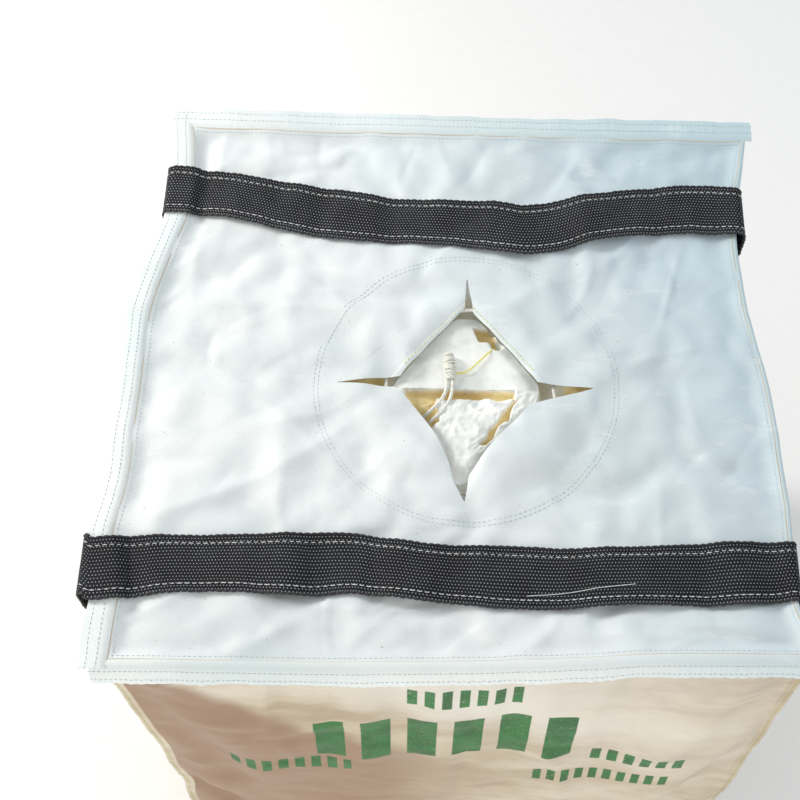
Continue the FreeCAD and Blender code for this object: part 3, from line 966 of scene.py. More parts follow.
for end, side in FLAPS:
    grid = flap_grid(end, side)
    if SIGN[end] == SIGN[side]:
        grid = grid[:, ::-1]
    if normals(grid)[..., 2].mean() < 0:
        grid = grid[:, ::-1]
    flap_piece = sheet_piece(
        f"flap_{end}_{side}", grid, grid[..., :2] + HALF, base_paint, CLOTH,
        f"petal_{end}_{side}", f"petal_{end}_{side}",
    )
    SLIT * math.sqrt(2)
    0.36 * SLIT
    if end == "back":
        edge = grid[-4:] + normals(grid)[-4:] * np.array((0.1, 0.8, 0.9, 0.5))[:, None, None] * MM
        rim = sheet_piece(
            f"flap_rim_{end}_{side}", edge, edge[..., :2] + HALF, hem_paint, 1.6 * MM,
            f"petal_{end}_{side}", None,
        )
print("four flaps, two of them with a turned rim")

# %% [markdown]
# ## The seams round the base
#
# The base is joined to each wall with both edges turned and sewn together, which leaves a double
# strip standing out all round. On this bag the strip lies flat at the back and on the left, droops
# at the front and is folded down on the right. Each strip is swept along the wrinkled edge of the
# base, with ripples where the sewing draws it up.

# %% Sweep the seam strips
HEM_STEPS = 9
HEM_PLY = 3.2 * MM
# outline of each strip from the seam: metres outwards and up
HEM_SHAPE = {
    "left": [(0, 0), (0.010, 0.0015), (0.022, 0.001), (abs(HEM_LEFT) - HALF - 0.003, 0)],
    "back": [(0, 0), (0.012, 0.002), (0.024, 0.001), (HEM_BACK - HALF - 0.001, 0)],
    "front": [(0, 0), (0.007, -0.001), (0.014, -0.008), (0.018, -0.020), (0.020, -0.031)],
    "right": [(0, 0), (0.004, 0.001), (0.0055, -0.006), (0.005, -0.036)],
}
HEM_OUT = {"left": (-1, 0, 0), "back": (0, 1, 0), "front": (0, -1, 0), "right": (1, 0, 0)}
HEM_OVER = {"left": (0.012, 0.020), "back": (0.030, 0.016), "front": (0.022, 0.004), "right": (0.0, 0.0)}


def spread_out(knots, count):
    """Evenly spaced places along a bent line through the knots."""
    knots = np.array(knots, dtype=float)
    run = np.concatenate(([0], np.cumsum(np.linalg.norm(np.diff(knots, axis=0), axis=1))))
    wanted = np.linspace(0, run[-1], count)
    return np.stack([np.interp(wanted, run, knots[:, axis]) for axis in range(knots.shape[1])], axis=-1)


def hem_grid(side):
    """Points of a seam strip: first axis outwards, second along the edge."""
    panel = panels["base"]
    steps = 260
    before, after = HEM_OVER[side]
    along = np.linspace(-before, WIDE + after, steps)
    held = np.clip(along, 0, WIDE)
    edge = {
        "left": (0 * held, held), "right": (0 * held + WIDE, held),
        "front": (held, 0 * held), "back": (held, 0 * held + WIDE),
    }[side]
    seam = panel.at(*edge)
    run = 1 if side in ("left", "right") else 0
    seam[:, run] += along - held
    outline = spread_out(HEM_SHAPE[side], HEM_STEPS)
    reach = np.linspace(0, 1, HEM_STEPS)
    out = np.array(HEM_OUT[side])
    points = np.zeros((HEM_STEPS, steps, 3))
    for number, place in enumerate(along):
        slow = noise.noise(Vector((place * 7, SIGN.get(side, 0), 3.1)))
        quick = noise.noise(Vector((place * 31, 5.5, SIGN.get(side, 0))))
        pucker = math.sin(place * 2 * math.pi / 0.013 + 3 * slow) * (0.6 + quick)
        size = 1 + 0.06 * slow + 0.05 * quick
        if side == "left":
            size -= 0.16 * math.exp(-(((place - HALF) / 0.2) ** 2))
            size += 0.10 * abs(slow) + 0.06 * math.exp(-((place / 0.16) ** 2))
        lift = (2.2 * slow + 1.2 * quick) * MM * reach + pucker * 0.45 * MM * reach * (1.3 - reach)
        if side in ("front", "right"):
            outward = outline[:, 0] + (3.0 * slow + 1.5 * quick) * MM * reach**1.5
            outward += pucker * 0.7 * MM * reach
            rise = outline[:, 1] * size
        else:
            outward = outline[:, 0] * size
            rise = outline[:, 1] + lift
        points[:, number] = seam[number] + outward[:, None] * out
        points[:, number, 2] += rise
    return points


hem_grids = {}
for side in HEM_SHAPE:
    grid = hem_grid(side)
    facing = normals(grid)[1:, :, 2] if side in ("left", "back") else normals(grid) @ HEM_OUT[side]
    if facing.mean() < 0:
        grid = grid[:, ::-1]
    grid[1:] += normals(grid)[1:] * 1.6 * MM
    hem_grids[side] = grid
    along = lengths(grid)
    deep = np.broadcast_to(np.linspace(0, 0.036, HEM_STEPS)[:, None], along.shape)
    strip = sheet_piece(
        f"seam_strip_{side}", grid, np.stack((along, deep), axis=-1), hem_paint, HEM_PLY,
        "bag", f"base_hem_{side}",
    )
print("four seam strips")

# %% [markdown]
# ## Corner seams and the mouth hem
#
# The walls are sewn together at the four corners with a narrow strip that stands out, and the open
# mouth, on the floor here, is turned in and hemmed. The corner strips are ruffled by their sewing.

# %% Make the corner strips and the mouth hems
CORNER_LOW, CORNER_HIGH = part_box("corner_seam_front_left")[0].z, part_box("corner_seam_front_left")[1].z
CORNER_REACH = -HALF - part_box("corner_seam_front_left")[0].x
corner_grids = {}
for end in ENDS:
    for side in SIDES:
        up = np.linspace(CORNER_LOW, CORNER_HIGH, 190)
        wall = panels[end]
        at_left = (side == "left") == (end == "front")
        seam = wall.at(0 * up + (0 if at_left else wall.width), up)
        reach = np.linspace(0, 1, 6)[:, None]
        wave = np.array([noise.noise(Vector((9.0 * z, SIGN[end], SIGN[side]))) for z in up])
        ruffle = np.array([noise.noise(Vector((46.0 * z, SIGN[side], SIGN[end]))) for z in up])
        grid = np.repeat(seam[None], 6, axis=0)
        fade = smooth(up, CORNER_LOW, CORNER_LOW + 0.05)
        fade = fade * (1 - smooth(up, CORNER_HIGH - 0.06, CORNER_HIGH) * 0.7)
        grid[..., 0] += SIGN[side] * reach * (CORNER_REACH + 2 * MM * ruffle) * (0.4 + 0.6 * fade)
        grid[..., 1] += reach * (4 * MM * wave + 3 * MM * ruffle) * fade - SIGN[end] * reach * 1.5 * MM
        if (normals(grid)[..., 1].mean() > 0) != (end == "back"):
            grid = grid[:, ::-1]
        corner_grids[end, side] = grid
        deep = np.broadcast_to(reach * CORNER_REACH, grid.shape[:2])
        strip = sheet_piece(
            f"corner_strip_{end}_{side}", grid, np.stack((deep, lengths(grid)), axis=-1), wall_paint, 2 * MM,
            "bag", f"corner_seam_{end}_{side}",
        )

MOUTH_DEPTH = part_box("mouth_hem_front")[1].z
for name in ENDS + SIDES:
    panel = panels[name]
    across = np.linspace(4 * MM, panel.width - 4 * MM, 120)
    across, up = np.meshgrid(across, np.linspace(0.5 * MM, MOUTH_DEPTH, 6))
    inner = panel.at(across, up) - panel.normal * 1.6 * MM
    hem = sheet_piece(
        f"mouth_strip_{name}", inner, np.stack((across, up), axis=-1), wall_paint, CLOTH,
        "bag", f"mouth_hem_{name}",
    )
print("four corner strips and four mouth hems")

# %% [markdown]
# ## Belts
#
# Each belt is one length of webbing that goes up one wall, over the base and down the other wall. It
# carries the load when the bag hangs from its loops. It is sewn down, but not evenly, so it wanders
# a little and stands up in low arches. Its line over the base is drawn through a few listed points;
# its height comes from the cloth under it.

# %% Lay the belts
BELT_PLY = 2.2 * MM
OFFSETS = np.linspace(-BELT_WIDTH / 2, BELT_WIDTH / 2, 15)
MIDDLE = len(OFFSETS) // 2
BELT_LINE = {
    # millimetres to the right and back along the middle of the belt
    "front": [(-490, -303), (-385, -289), (-310, -286), (-213, -287), (-155, -280), (-50, -293), (130, -295),
              (250, -287), (315, -283), (440, -276)],
    "back": [(-470, 308), (-370, 303), (-228, 278), (-145, 268), (-48, 262), (25, 259), (64, 250), (100, 252),
             (162, 267), (225, 281), (340, 294), (440, 287)],
}
BELT_ARCHES = {
    # right of the middle, half length, height in millimetres
    "front": [(-228, 34, 10), (-66, 62, 8), (205, 60, 4), (372, 40, 5)],
    "back": [(-330, 60, 4), (62, 34, 7), (210, 70, 5), (385, 40, 5)],
}


def belt_middle(end, x):
    """Place of the belt's middle line across the bag, softened so that it never kinks."""
    knots = np.array(BELT_LINE[end]) * MM
    reach = np.linspace(-0.022, 0.022, 9)
    return np.mean([np.interp(x + shift, knots[:, 0], knots[:, 1]) for shift in reach], axis=0)


def wall_reach(side, y, z):
    """How far out the left or right wall stands at a place."""
    panel = panels[side]
    across = HALF - y if side == "left" else y + HALF
    return np.abs(panel.at(across, z)[..., 0])


def wall_run(end, side, heights, gap):
    """Rows of webbing against a wall, at these heights, leaving this gap."""
    drift = smooth(heights, TOP - 0.45, TOP)
    top_y = float(belt_middle(end, SIGN[side] * HALF))
    middle = BELT[end] * (1 - drift) + top_y * drift
    y = middle[:, None] + OFFSETS
    z = np.repeat(heights[:, None], len(OFFSETS), axis=1)
    reach = wall_reach(side, y, z)
    # webbing is stiff across its width: it bridges the small creases under it
    reach = reach * 0.35 + reach.max(axis=1, keepdims=True) * 0.65
    return np.stack((SIGN[side] * (reach + gap), y, z), axis=-1)


def strip_reach(side, end):
    """How far out the left or right seam strip stands under a belt."""
    strip = hem_grids[side]
    under = np.abs(strip[..., 1] - belt_middle(end, SIGN[side] * HALF)) < BELT_WIDTH / 2
    return float((SIGN[side] * strip[..., 0][under]).max())


def over_strip(places, ground):
    """Ground under a belt, raised to the top of the left seam strip where the belt crosses it."""
    strip = hem_grids["left"].reshape(-1, 3)
    strip = strip[np.abs(strip[:, 1] - places[0, :, 1].mean()) < BELT_WIDTH]
    for row in np.flatnonzero(places[:, MIDDLE, 0] < -HALF + 0.04):
        for column, place in enumerate(places[row]):
            near = strip[np.hypot(*(strip[:, :2] - place[:2]).T) < 7 * MM, 2]
            ground[row, column] = max(ground[row, column], near.max(initial=0))
    eased = np.array([ground[max(row - 3, 0) : row + 4].mean(axis=0) for row in range(len(ground))])
    return np.maximum(ground, eased)


print("belt lines over the base:", {end: len(line) for end, line in BELT_LINE.items()})


# %% Run each belt up, over and down
def belt_grid(end):
    """Points of a belt from the foot of the left wall to the foot of the right one."""
    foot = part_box(f"belt_{end}")[0].z
    up = np.linspace(foot, TOP - 0.03, 150)
    left = wall_run(end, "left", up, 2.6 * MM)
    out = smooth(up, TOP - 0.17, TOP - 0.03)[:, None]
    edge = 3.2 * MM + strip_reach("left", end)
    right_edge = 2.4 * MM + strip_reach("right", end)
    left[..., 0] = -np.maximum(-left[..., 0], edge * out + -left[..., 0] * (1 - out))
    # places left or right and heights below the belt beside them, where it turns over the edge
    brink = np.array([(-edge - 0.0006, -0.018), (-edge, -0.007), (-edge + 0.004, -0.0005)])
    x = np.linspace(-edge + 0.012, right_edge - 0.0135, 260)
    slope = np.gradient(belt_middle(end, x), x)
    over = np.zeros((len(x), len(OFFSETS), 3))
    over[..., 0] = x[:, None] - slope[:, None] * OFFSETS
    over[..., 1] = belt_middle(end, x)[:, None] + OFFSETS * (1 + 0.05 * np.sin(x * 23))[:, None]
    ground = base_height(np.clip(over[..., 0], -HALF, HALF), over[..., 1])
    ground = over_strip(over, ground)
    ground = ground * 0.4 + ground.max(axis=1, keepdims=True) * 0.6
    arch = sum(tall * MM * bump_at(over[..., 0], at * MM, half * MM) for at, half, tall in BELT_ARCHES[end])
    over[..., 2] = ground + 2.2 * MM + arch
    down = np.linspace(TOP - 0.016, foot, 150)
    right = wall_run(end, "right", down, 2.6 * MM)
    clear = right_edge * smooth(down, TOP - 0.09, TOP - 0.05)[:, None]
    right[..., 0] = np.maximum(right[..., 0], clear)
    corner = np.array([(right_edge - 0.0056, 0.0), (right_edge - 0.0011, -0.006)])
    turns = []
    for knots, beside, crest in ((brink, left[-1], over[0]), (corner, right[0], over[-1])):
        rows = np.repeat(beside[None], len(knots), axis=0)
        rows[..., 0] = knots[:, :1]
        rows[..., 2] = crest[:, 2] + knots[:, 1:]
        turns.append(rows)
    return np.concatenate((left, turns[0], over, turns[1], right))


belt_grids = {}
for end in ENDS:
    grid = belt_grid(end).transpose(1, 0, 2)
    belt_grids[end] = grid
    along = lengths(grid)[MIDDLE]
    place = np.stack(np.meshgrid(along, OFFSETS + BELT_WIDTH / 2), axis=-1)
    out = normals(grid)[MIDDLE, 250, 2]
    if out < 0:
        grid, place = grid[::-1], place[::-1]
        belt_grids[end] = grid
    band = sheet_piece(
        f"belt_band_{end}", grid + normals(grid) * BELT_PLY / 2, place, webbing_paint, BELT_PLY,
        "bag", f"belt_{end}",
    )
    print(f"belt {end}: {along[-1]:.3f} m long")

# %% [markdown]
# ## Lifting loops
#
# At the foot of each wall the belt runs on into a loop and comes back up the wall as a second ply,
# where it is sewn down for a quarter of a metre. The loops are folded up against the walls here.
# Each is one band.

# %% Make the loops
loop_grids = {}
LOOP_HALF, LOOP_NEAR, LOOP_FAR = 9.2 * MM, 0.012, LOOP_REACH - 0.0135
# metres outwards from the wall and up: the bend at the foot before and after the loop
FOOT_OUT = [
    (0.0045, 0.016), (0.0060, 0.009), (0.0110, 0.0045),
    (0.0200, 0.0030), (0.0272, 0.0048), (0.0320, 0.0115),
]
FOOT_BACK = [(0.0144, 0.0195), (0.0118, 0.0166), (0.0088, 0.0185), (0.0066, 0.027)]
LOOP_FIXED, LOOP_FREE = HALF + 0.0104, HALF + 0.0190
for end in ENDS:
    for side in SIDES:
        sign = SIGN[side]
        turn = np.linspace(-math.pi / 2, math.pi / 2, 9)[1:-1]
        # along the loop from its bend, and outwards from its middle line
        strands = [(far, -LOOP_HALF) for far in np.linspace(LOOP_NEAR, LOOP_FAR, 24)]
        strands += [(LOOP_FAR + 0.0125 * math.cos(a), LOOP_HALF * math.sin(a)) for a in turn]
        strands += [(far, LOOP_HALF) for far in np.linspace(LOOP_FAR, LOOP_NEAR, 24)]
        outline = [(HALF + reach, z, 0.0) for reach, z in FOOT_OUT]
        for far, out in strands:
            x = LOOP_HINGE + far * math.cos(LOOP_LEAN) - out * math.sin(LOOP_LEAN)
            z = LOOP_RISE + far * math.sin(LOOP_LEAN) + out * math.cos(LOOP_LEAN)
            outline.append((x, z, far))
        outline += [(HALF + reach, z, 0.0) for reach, z in FOOT_BACK]
        loose = np.zeros((len(outline), len(OFFSETS), 3))
        for row, (reach, z, far) in enumerate(outline):
            away = smooth(far, 0.02, LOOP_REACH)
            slack = 2.2 * MM * noise.noise(Vector((14 * far, SIGN[end] * 2, sign * 3 + 40 * reach)))
            loose[row, :, 0] = sign * (reach + (abs(slack) + 0.9 * MM * np.cos(OFFSETS * 60)) * away)
            loose[row, :, 1] = BELT[end] + OFFSETS * (1 - 0.10 * away) + 3 * slack * away
            loose[row, :, 2] = z
        leg = wall_run(end, side, np.linspace(0.040, LEG_TOP, 40), 2.6 * MM + BELT_PLY + 0.8 * MM)
        grid = np.concatenate((loose, leg)).transpose(1, 0, 2)
        if normals(grid)[MIDDLE, 15, 0] * sign < 0:
            grid = grid[::-1]
        loop_grids[end, side] = grid
        place = np.stack(np.meshgrid(lengths(grid)[MIDDLE], OFFSETS + BELT_WIDTH / 2), axis=-1)
        band = sheet_piece(
            f"loop_band_{end}_{side}", grid, place, webbing_paint, BELT_PLY, None,
            (f"lifting_loop_{end}_{side}", f"loop_leg_{end}_{side}"),
        )
        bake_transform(band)
print("four loops,", round(float(lengths(grid)[MIDDLE, -1]), 3), "m of webbing each")

# %% [markdown]
# ## The gathered spout
#
# Under the star the spout is gathered and tied. Its cloth fills the diamond: a smooth fold across
# the back half with a straight edge, crumpled cloth in the front half, and the yellowish inside of
# the spout showing in the gaps between. It is one cloth. A funnel closes the gap below.

# %% Shape the gathered spout
def outline_reach(angles):
    """Distance from the star's middle to the edge of the opening in each direction."""
    edges = np.concatenate([flap_edges(end, side, 60) for end, side in FLAPS])
    corner = np.arctan2(edges[:, 1], edges[:, 0])
    order = np.argsort(corner)
    reach = np.interp(angles, corner[order], np.hypot(*edges[order].T), period=2 * math.pi)
    return reach


def ragged(x, y, size, seed):
    """Uneven noise for torn-looking borders, about -1 to 1."""
    flat = zip(x.ravel() / size, y.ravel() / size)
    return np.array([noise.noise(Vector((a, b, seed))) for a, b in flat]).reshape(x.shape)


def lining_share(x, y):
    """Where the yellowish inside shows, 0 to 1, for metres from the star's middle."""
    rough = ragged(x, y, 0.018, 1.0) * 0.005
    band = smooth(y + rough * 0.7, -0.0185, -0.0165) * (1 - smooth(y, -0.0035, -0.0015))
    band *= smooth(x, -0.088, -0.080) * (1 - smooth(x + rough, 0.062, 0.070))
    left = smooth(x + rough, -0.080, -0.074) * (1 - smooth(x + rough + (y + 0.02) * 0.15, -0.042, -0.039))
    left *= smooth(-y + rough, 0.012, 0.016) * (1 - smooth(-y - x * 0.2 + rough, 0.058, 0.062))
    cross = x - 0.052 - 0.62 * (y + 0.045)
    right = (1 - smooth(np.abs(cross + rough * 1.8), 0.003, 0.0055)) * smooth(-y, 0.014, 0.02)
    right *= 1 - smooth(-y, 0.082, 0.09)
    corner = smooth(x + y * 0.35, 0.044, 0.047) * (1 - smooth(x + y * 0.35, 0.070, 0.073))
    corner *= smooth(y, 0.076, 0.079) * (1 - smooth(y, 0.098, 0.101))
    return np.clip(np.maximum.reduce((band, left, right, corner)), 0, 1)


def gathered_height(x, y, share):
    """Height of the gathered cloth below the base, for metres from the star's middle."""
    lining = lining_share(x, y)
    back = smooth(y, -0.0035, 0.0005)
    soft = ragged(x, y, 0.05, 4.0)
    ridge = 1 - np.abs(ragged(x + 0.3 * y, y, 0.031, 7.0)) * 2
    small = 1 - np.abs(ragged(x - 0.4 * y, y, 0.011, 9.0)) * 2
    smooth_fold = -0.0160 + 0.0014 * soft
    crumpled = -0.0165 + 0.0045 * ridge + 0.0012 * small - 0.004 * smooth(-y, 0.09, 0.14)
    height = smooth_fold * back + crumpled * (1 - back)
    height -= lining * (0.010 + 0.006 * (1 - back))
    cord_well = bump_at(np.hypot(x + 0.057, y + 0.048), 0, 0.011)
    twine_well = bump_at(np.hypot(x - 0.0435, y - 0.0745), 0, 0.0055)
    height -= 0.078 * cord_well + 0.055 * twine_well
    return height - 0.004 * smooth(share, 0.8, 1.0)


print("opening from", round(float(outline_reach(0.0)), 3), "m at the right")

# %% Build the gathered spout
SKIRT, SKIRT_DEPTH = 0.010, 0.094
angles = np.linspace(-math.pi, math.pi, 289)[:-1]
reach = np.minimum(outline_reach(angles) + 3 * MM, 0.116 + 0.034 * smooth(-np.sin(angles), 0.2, 0.9))
kernel = np.ones(5) / 5
reach = np.convolve(np.concatenate((reach[-2:], reach, reach[:2])), kernel, mode="valid")
rings = np.concatenate((np.linspace(0.004, 1, 92), 1 + np.linspace(0, 1, 13)[1:]))
rows = []
for ring in rings:
    inner, outer = min(ring, 1), max(ring - 1, 0)
    far = reach * inner + SKIRT * outer
    x, y = far * np.cos(angles), far * np.sin(angles)
    height = gathered_height(x, y, np.full_like(x, inner))
    height = height - (SKIRT_DEPTH + height) * smooth(np.full_like(x, outer), 0, 1)
    rows.append(np.stack((x + STAR.x, y + STAR.y, TOP + height), axis=-1))
bunch_grid = np.array(rows)


def closed_rings(name, grid, paint, thickness, body, node, colour_share, lid):
    """A sheet of rings round an axis, closed round and capped in the middle, with a colour attribute."""
    count, around = grid.shape[:2]
    number = np.arange(count * around).reshape(count, around)
    turned = np.roll(number, -1, axis=1)
    corners = (number[:-1], number[1:], turned[1:], turned[:-1])
    faces = np.stack(corners, axis=-1).reshape(-1, 4).tolist()
    if lid:
        faces.append(number[0].tolist())
    mesh = bpy.data.meshes.new(name)
    mesh.from_pydata(grid.reshape(-1, 3).tolist(), [], faces)
    lay_pattern(mesh, grid[..., :2] + HALF)
    tint = mesh.attributes.new("lining", "FLOAT", "POINT")
    tint.data.foreach_set("value", colour_share.astype(np.float32).ravel())
    if mesh.polygons[len(mesh.polygons) // 8].normal.z < 0:
        mesh.flip_normals()
    return finish_piece(name, mesh, paint, thickness, body, node)


lining = lining_share(bunch_grid[..., 0] - STAR.x, bunch_grid[..., 1] - STAR.y)
bunch = closed_rings(
    "spout_bunch", bunch_grid, spout_paint, 0.9 * MM, None, ("spout_end", "spout_sleeve"), lining, True
)
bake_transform(bunch)
print("gathered spout", bunch_grid.shape)

# %% Close the gap below with a funnel
FUNNEL_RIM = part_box("spout_flange")[1].x - 0.006
shares = np.linspace(0, 1, 34)
rows = []
for share in shares:
    far = (reach + SKIRT + 3 * MM) * (1 - share) + FUNNEL_RIM * share
    x, y = far * np.cos(angles), far * np.sin(angles)
    crease = ragged(x, y, 0.03, 12.0) * 3 * MM * math.sin(math.pi * share)
    under = base_height(x + STAR.x, y + STAR.y) - star_lift(x + STAR.x, y + STAR.y)
    height = -0.004 - 0.090 * (1 - share) ** 2.6 + crease - 9 * MM * math.sin(math.pi * share)
    rows.append(np.stack((x + STAR.x, y + STAR.y, np.minimum(under, TOP) + height), axis=-1))
funnel_grid = np.array(rows)
tint = 0.25 + 0.6 * ragged(funnel_grid[..., 0], funnel_grid[..., 1], 0.05, 3.0)
# the lining shows through the far ends of the cross cut
aside = funnel_grid[..., 0] - STAR.x
cut_ends = smooth(aside, 0.135, 0.15) + 1 - smooth(aside, -0.12, -0.10)
tint = np.clip(tint + cut_ends, 0, 1)
funnel = closed_rings(
    "spout_funnel", funnel_grid, spout_paint, 0.9 * MM, "bag", "spout_flange", tint, False
)
print("funnel out to", round(FUNNEL_RIM, 3))

# %% [markdown]
# ## Cords and the knot
#
# A thin cord runs round inside the flaps to draw them shut, and shows where it crosses the cuts. The
# spout's own cord is wound round the bunch and ends in two tails that go down under a front flap, and
# a yellow twine goes down beside the back flap. The free ones are smooth curves through the route
# of the CAD part, in millimetres to the right, back and up from the star.

# %% Lay the cords
def cord_piece(name, route, radius, paint, node):
    """A free cord on the spout: a smooth curve along its route."""
    curve = bpy.data.curves.new(name, "CURVE")
    curve.dimensions = "3D"
    curve.bevel_depth, curve.bevel_resolution = radius, 3
    curve.use_fill_caps = True
    spline = curve.splines.new("NURBS")
    spline.points.add(len(route) - 1)
    for point, place in zip(spline.points, route):
        point.co = (*(STAR + Vector(place) * MM), 1)
    spline.order_u = 3
    spline.use_endpoint_u = True
    spline.resolution_u = 12
    curve.materials.append(paint)
    piece = bpy.data.objects.new(name, curve)
    bpy.context.scene.collection.objects.link(piece)
    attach(piece, "spout")
    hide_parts(node)
    return piece


CORD, TWINE = 2.5 * MM, 1.0 * MM
FRONT_TAIL = [
    (-18, 10, -12), (-18, -6, -12), (-23, -24, -13), (-36, -42, -15),
    (-54, -54, -25), (-56, -54.5, -48), (-54, -55, -72), (-54.5, -53.5, -90),
]
SIDE_TAIL = [
    (-26, 10, -12), (-26, -4, -12), (-33, -20, -13), (-46, -34, -16),
    (-61.5, -44.5, -27), (-63, -45, -50), (-61.5, -46.5, -74), (-62, -45.5, -92),
]
YELLOW = [
    (-15, 22, -12), (-5, 22, -12), (6, 28, -11), (18, 41, -11),
    (31, 56, -12), (42, 71, -21), (44, 74.5, -38), (43.5, 74, -55),
]
front_tail = cord_piece("tail_cord_front", FRONT_TAIL, CORD, white_cord, "tie_tail_front")
side_tail = cord_piece("tail_cord_side", SIDE_TAIL, CORD, white_cord, "tie_tail_side")
twine = cord_piece("twine_cord", YELLOW, TWINE, yellow_twine, "tie_twine")
print("two cord tails and a twine")


# %% Wind the knot
def tube(build, middles, radius, sides=8):
    """A closed tube along a ring of middles, added to a mesh under construction."""
    loops = []
    count = len(middles)
    for number, middle in enumerate(middles):
        ahead = (middles[(number + 1) % count] - middles[number - 1]).normalized()
        # the side is carried on from the last ring, so that the tube doesn't twist
        side = ahead.orthogonal() if number == 0 else side - ahead * side.dot(ahead)
        side.normalize()
        over = ahead.cross(side)
        turns = [2 * math.pi * k / sides for k in range(sides)]
        spokes = [side * math.cos(t) + over * math.sin(t) for t in turns]
        loops.append([build.verts.new(middle + radius * spoke) for spoke in spokes])
    for number in range(count):
        here, there = loops[number], loops[(number + 1) % count]
        for k in range(sides):
            build.faces.new((here[k], here[(k + 1) % sides], there[(k + 1) % sides], there[k]))


def cord_mesh(build, name, body, node):
    """Finish a mesh of tubes as a piece of white cord."""
    bmesh.ops.recalc_face_normals(build, faces=build.faces)
    mesh = bpy.data.meshes.new(name)
    build.to_mesh(mesh)
    build.free()
    finish_piece(name, mesh, white_cord, 0, body, node)


knot_low = STAR + Vector((-21, 14, -13)) * MM
knot_high = STAR + Vector((-24, 50, -11)) * MM
axis = (knot_high - knot_low).normalized()
side = axis.orthogonal().normalized()
build = bmesh.new()
TURNS, TILT = 9, 0.22
for turn in range(TURNS):
    share = turn / (TURNS - 1)
    middle = knot_low.lerp(knot_high, share)
    girth = (5.2 + 1.6 * math.sin(math.pi * share) + 0.8 * random.uniform(-1, 1)) * MM
    tilt = Matrix.Rotation(random.uniform(-TILT, TILT), 3, side)
    tilt = tilt @ Matrix.Rotation(random.uniform(-TILT, TILT), 3, "Z")
    around = []
    for k in range(26):
        angle = 2 * math.pi * k / 26
        spoke = side * math.cos(angle) + axis.cross(side) * math.sin(angle)
        around.append(middle + tilt @ spoke * girth)
    tube(build, around, 2.3 * MM)
for strand in range(3):
    spread = Vector((2.2 * (strand - 1), 0, 1.5 - 1.5 * (strand % 2))) * MM
    bow = [knot_low.lerp(knot_high, k / 15) + spread for k in range(16)]
    bow += [place - Vector((0, 0, 2.2 * MM)) for place in reversed(bow)]
    tube(build, bow, 2.2 * MM)
cord_mesh(build, "knot_turns", "spout", "spout_tie")

print("knot of", TURNS, "turns")

# %% Run the closing cord round the star
# it crosses the cuts at different distances: right, back, left and front of the middle
RING_REACH = np.array((123, 128, 124, 122, 111, 134, 162, 142, 123)) * MM
RING_STEPS = 160
build = bmesh.new()
around = []
for k in range(RING_STEPS):
    angle = 2 * math.pi * k / RING_STEPS
    far = np.interp(angle, np.linspace(0, 2 * math.pi, len(RING_REACH)), RING_REACH)
    deep = (-7.5 - 3.0 * smooth(np.array(far), 0.12, 0.16)) * MM
    place = STAR + Vector((far * math.cos(angle), far * math.sin(angle), 0))
    cloth = float(base_height(place.x, place.y) - star_lift(np.array(place.x), np.array(place.y)))
    around.append(Vector((place.x, place.y, min(cloth, TOP) + float(deep))))
tube(build, around, CORD)
cord_mesh(build, "closing_cord", "bag", "closure_cord")
print("closing cord of", RING_STEPS, "steps")

# %% [markdown]
# ## Stitches and the woven edge of the belts
#
# Sewing is the detail that tells cloth from a plain surface, and there is far too much of it to place
# by hand. A small Geometry Nodes tree does it: it walks along a line, sets a short thread at every
# step, turns it along the line and varies it a little. The same tree makes the bumps where the belt's
# cross yarns turn back at its edges.

# %% Build the stitch tree
def stitch_tree():
    """Threads set along lines, from sizes given by name."""
    tree = bpy.data.node_groups.new("stitch_row", "GeometryNodeTree")
    face = tree.interface
    face.new_socket("Lines", in_out="INPUT", socket_type="NodeSocketGeometry")
    for name in ("Pitch", "Length", "Width"):
        face.new_socket(name, in_out="INPUT", socket_type="NodeSocketFloat")
    face.new_socket("Thread", in_out="INPUT", socket_type="NodeSocketMaterial")
    face.new_socket("Stitches", in_out="OUTPUT", socket_type="NodeSocketGeometry")

    def node(kind, settings=None, values=None):
        made = tree.nodes.new(kind)
        for name, setting in (settings or {}).items():
            setattr(made, name, setting)
        for name, value in (values or {}).items():
            if isinstance(value, bpy.types.NodeSocket):
                tree.links.new(value, made.inputs[name])
            else:
                made.inputs[name].default_value = value
        return made

    given = node("NodeGroupInput")
    curve = node("GeometryNodeMeshToCurve", values={"Mesh": given.outputs["Lines"]})
    steps = node(
        "GeometryNodeCurveToPoints", {"mode": "LENGTH"},
        {"Curve": curve.outputs["Curve"], "Length": given.outputs["Pitch"]},
    )
    aim = node(
        "FunctionNodeAlignRotationToVector", {"axis": "Z"}, {"Vector": steps.outputs["Tangent"]}
    )
    size = node(
        "ShaderNodeCombineXYZ",
        values={"X": given.outputs["Width"], "Y": given.outputs["Width"], "Z": given.outputs["Length"]},
    )
    vary = node("FunctionNodeRandomValue", {"data_type": "FLOAT"}, {"Seed": 5})
    vary.inputs[2].default_value, vary.inputs[3].default_value = 0.82, 1.12
    scaled = node(
        "ShaderNodeVectorMath", {"operation": "SCALE"}, {0: size.outputs[0], "Scale": vary.outputs[1]}
    )
    thread = node("GeometryNodeMeshUVSphere", values={"Segments": 6, "Rings": 5, "Radius": 0.5})
    set_out = node(
        "GeometryNodeInstanceOnPoints",
        values={
            "Points": steps.outputs["Points"], "Instance": thread.outputs["Mesh"],
            "Rotation": aim.outputs[0], "Scale": scaled.outputs[0],
        },
    )
    real = node("GeometryNodeRealizeInstances", values={"Geometry": set_out.outputs["Instances"]})
    painted = node(
        "GeometryNodeSetMaterial", values={"Geometry": real.outputs[0], "Material": given.outputs["Thread"]}
    )
    result = node("NodeGroupOutput")
    tree.links.new(painted.outputs[0], result.inputs["Stitches"])
    return tree


STITCHES = stitch_tree()
print("stitch tree with", len(STITCHES.nodes), "nodes")

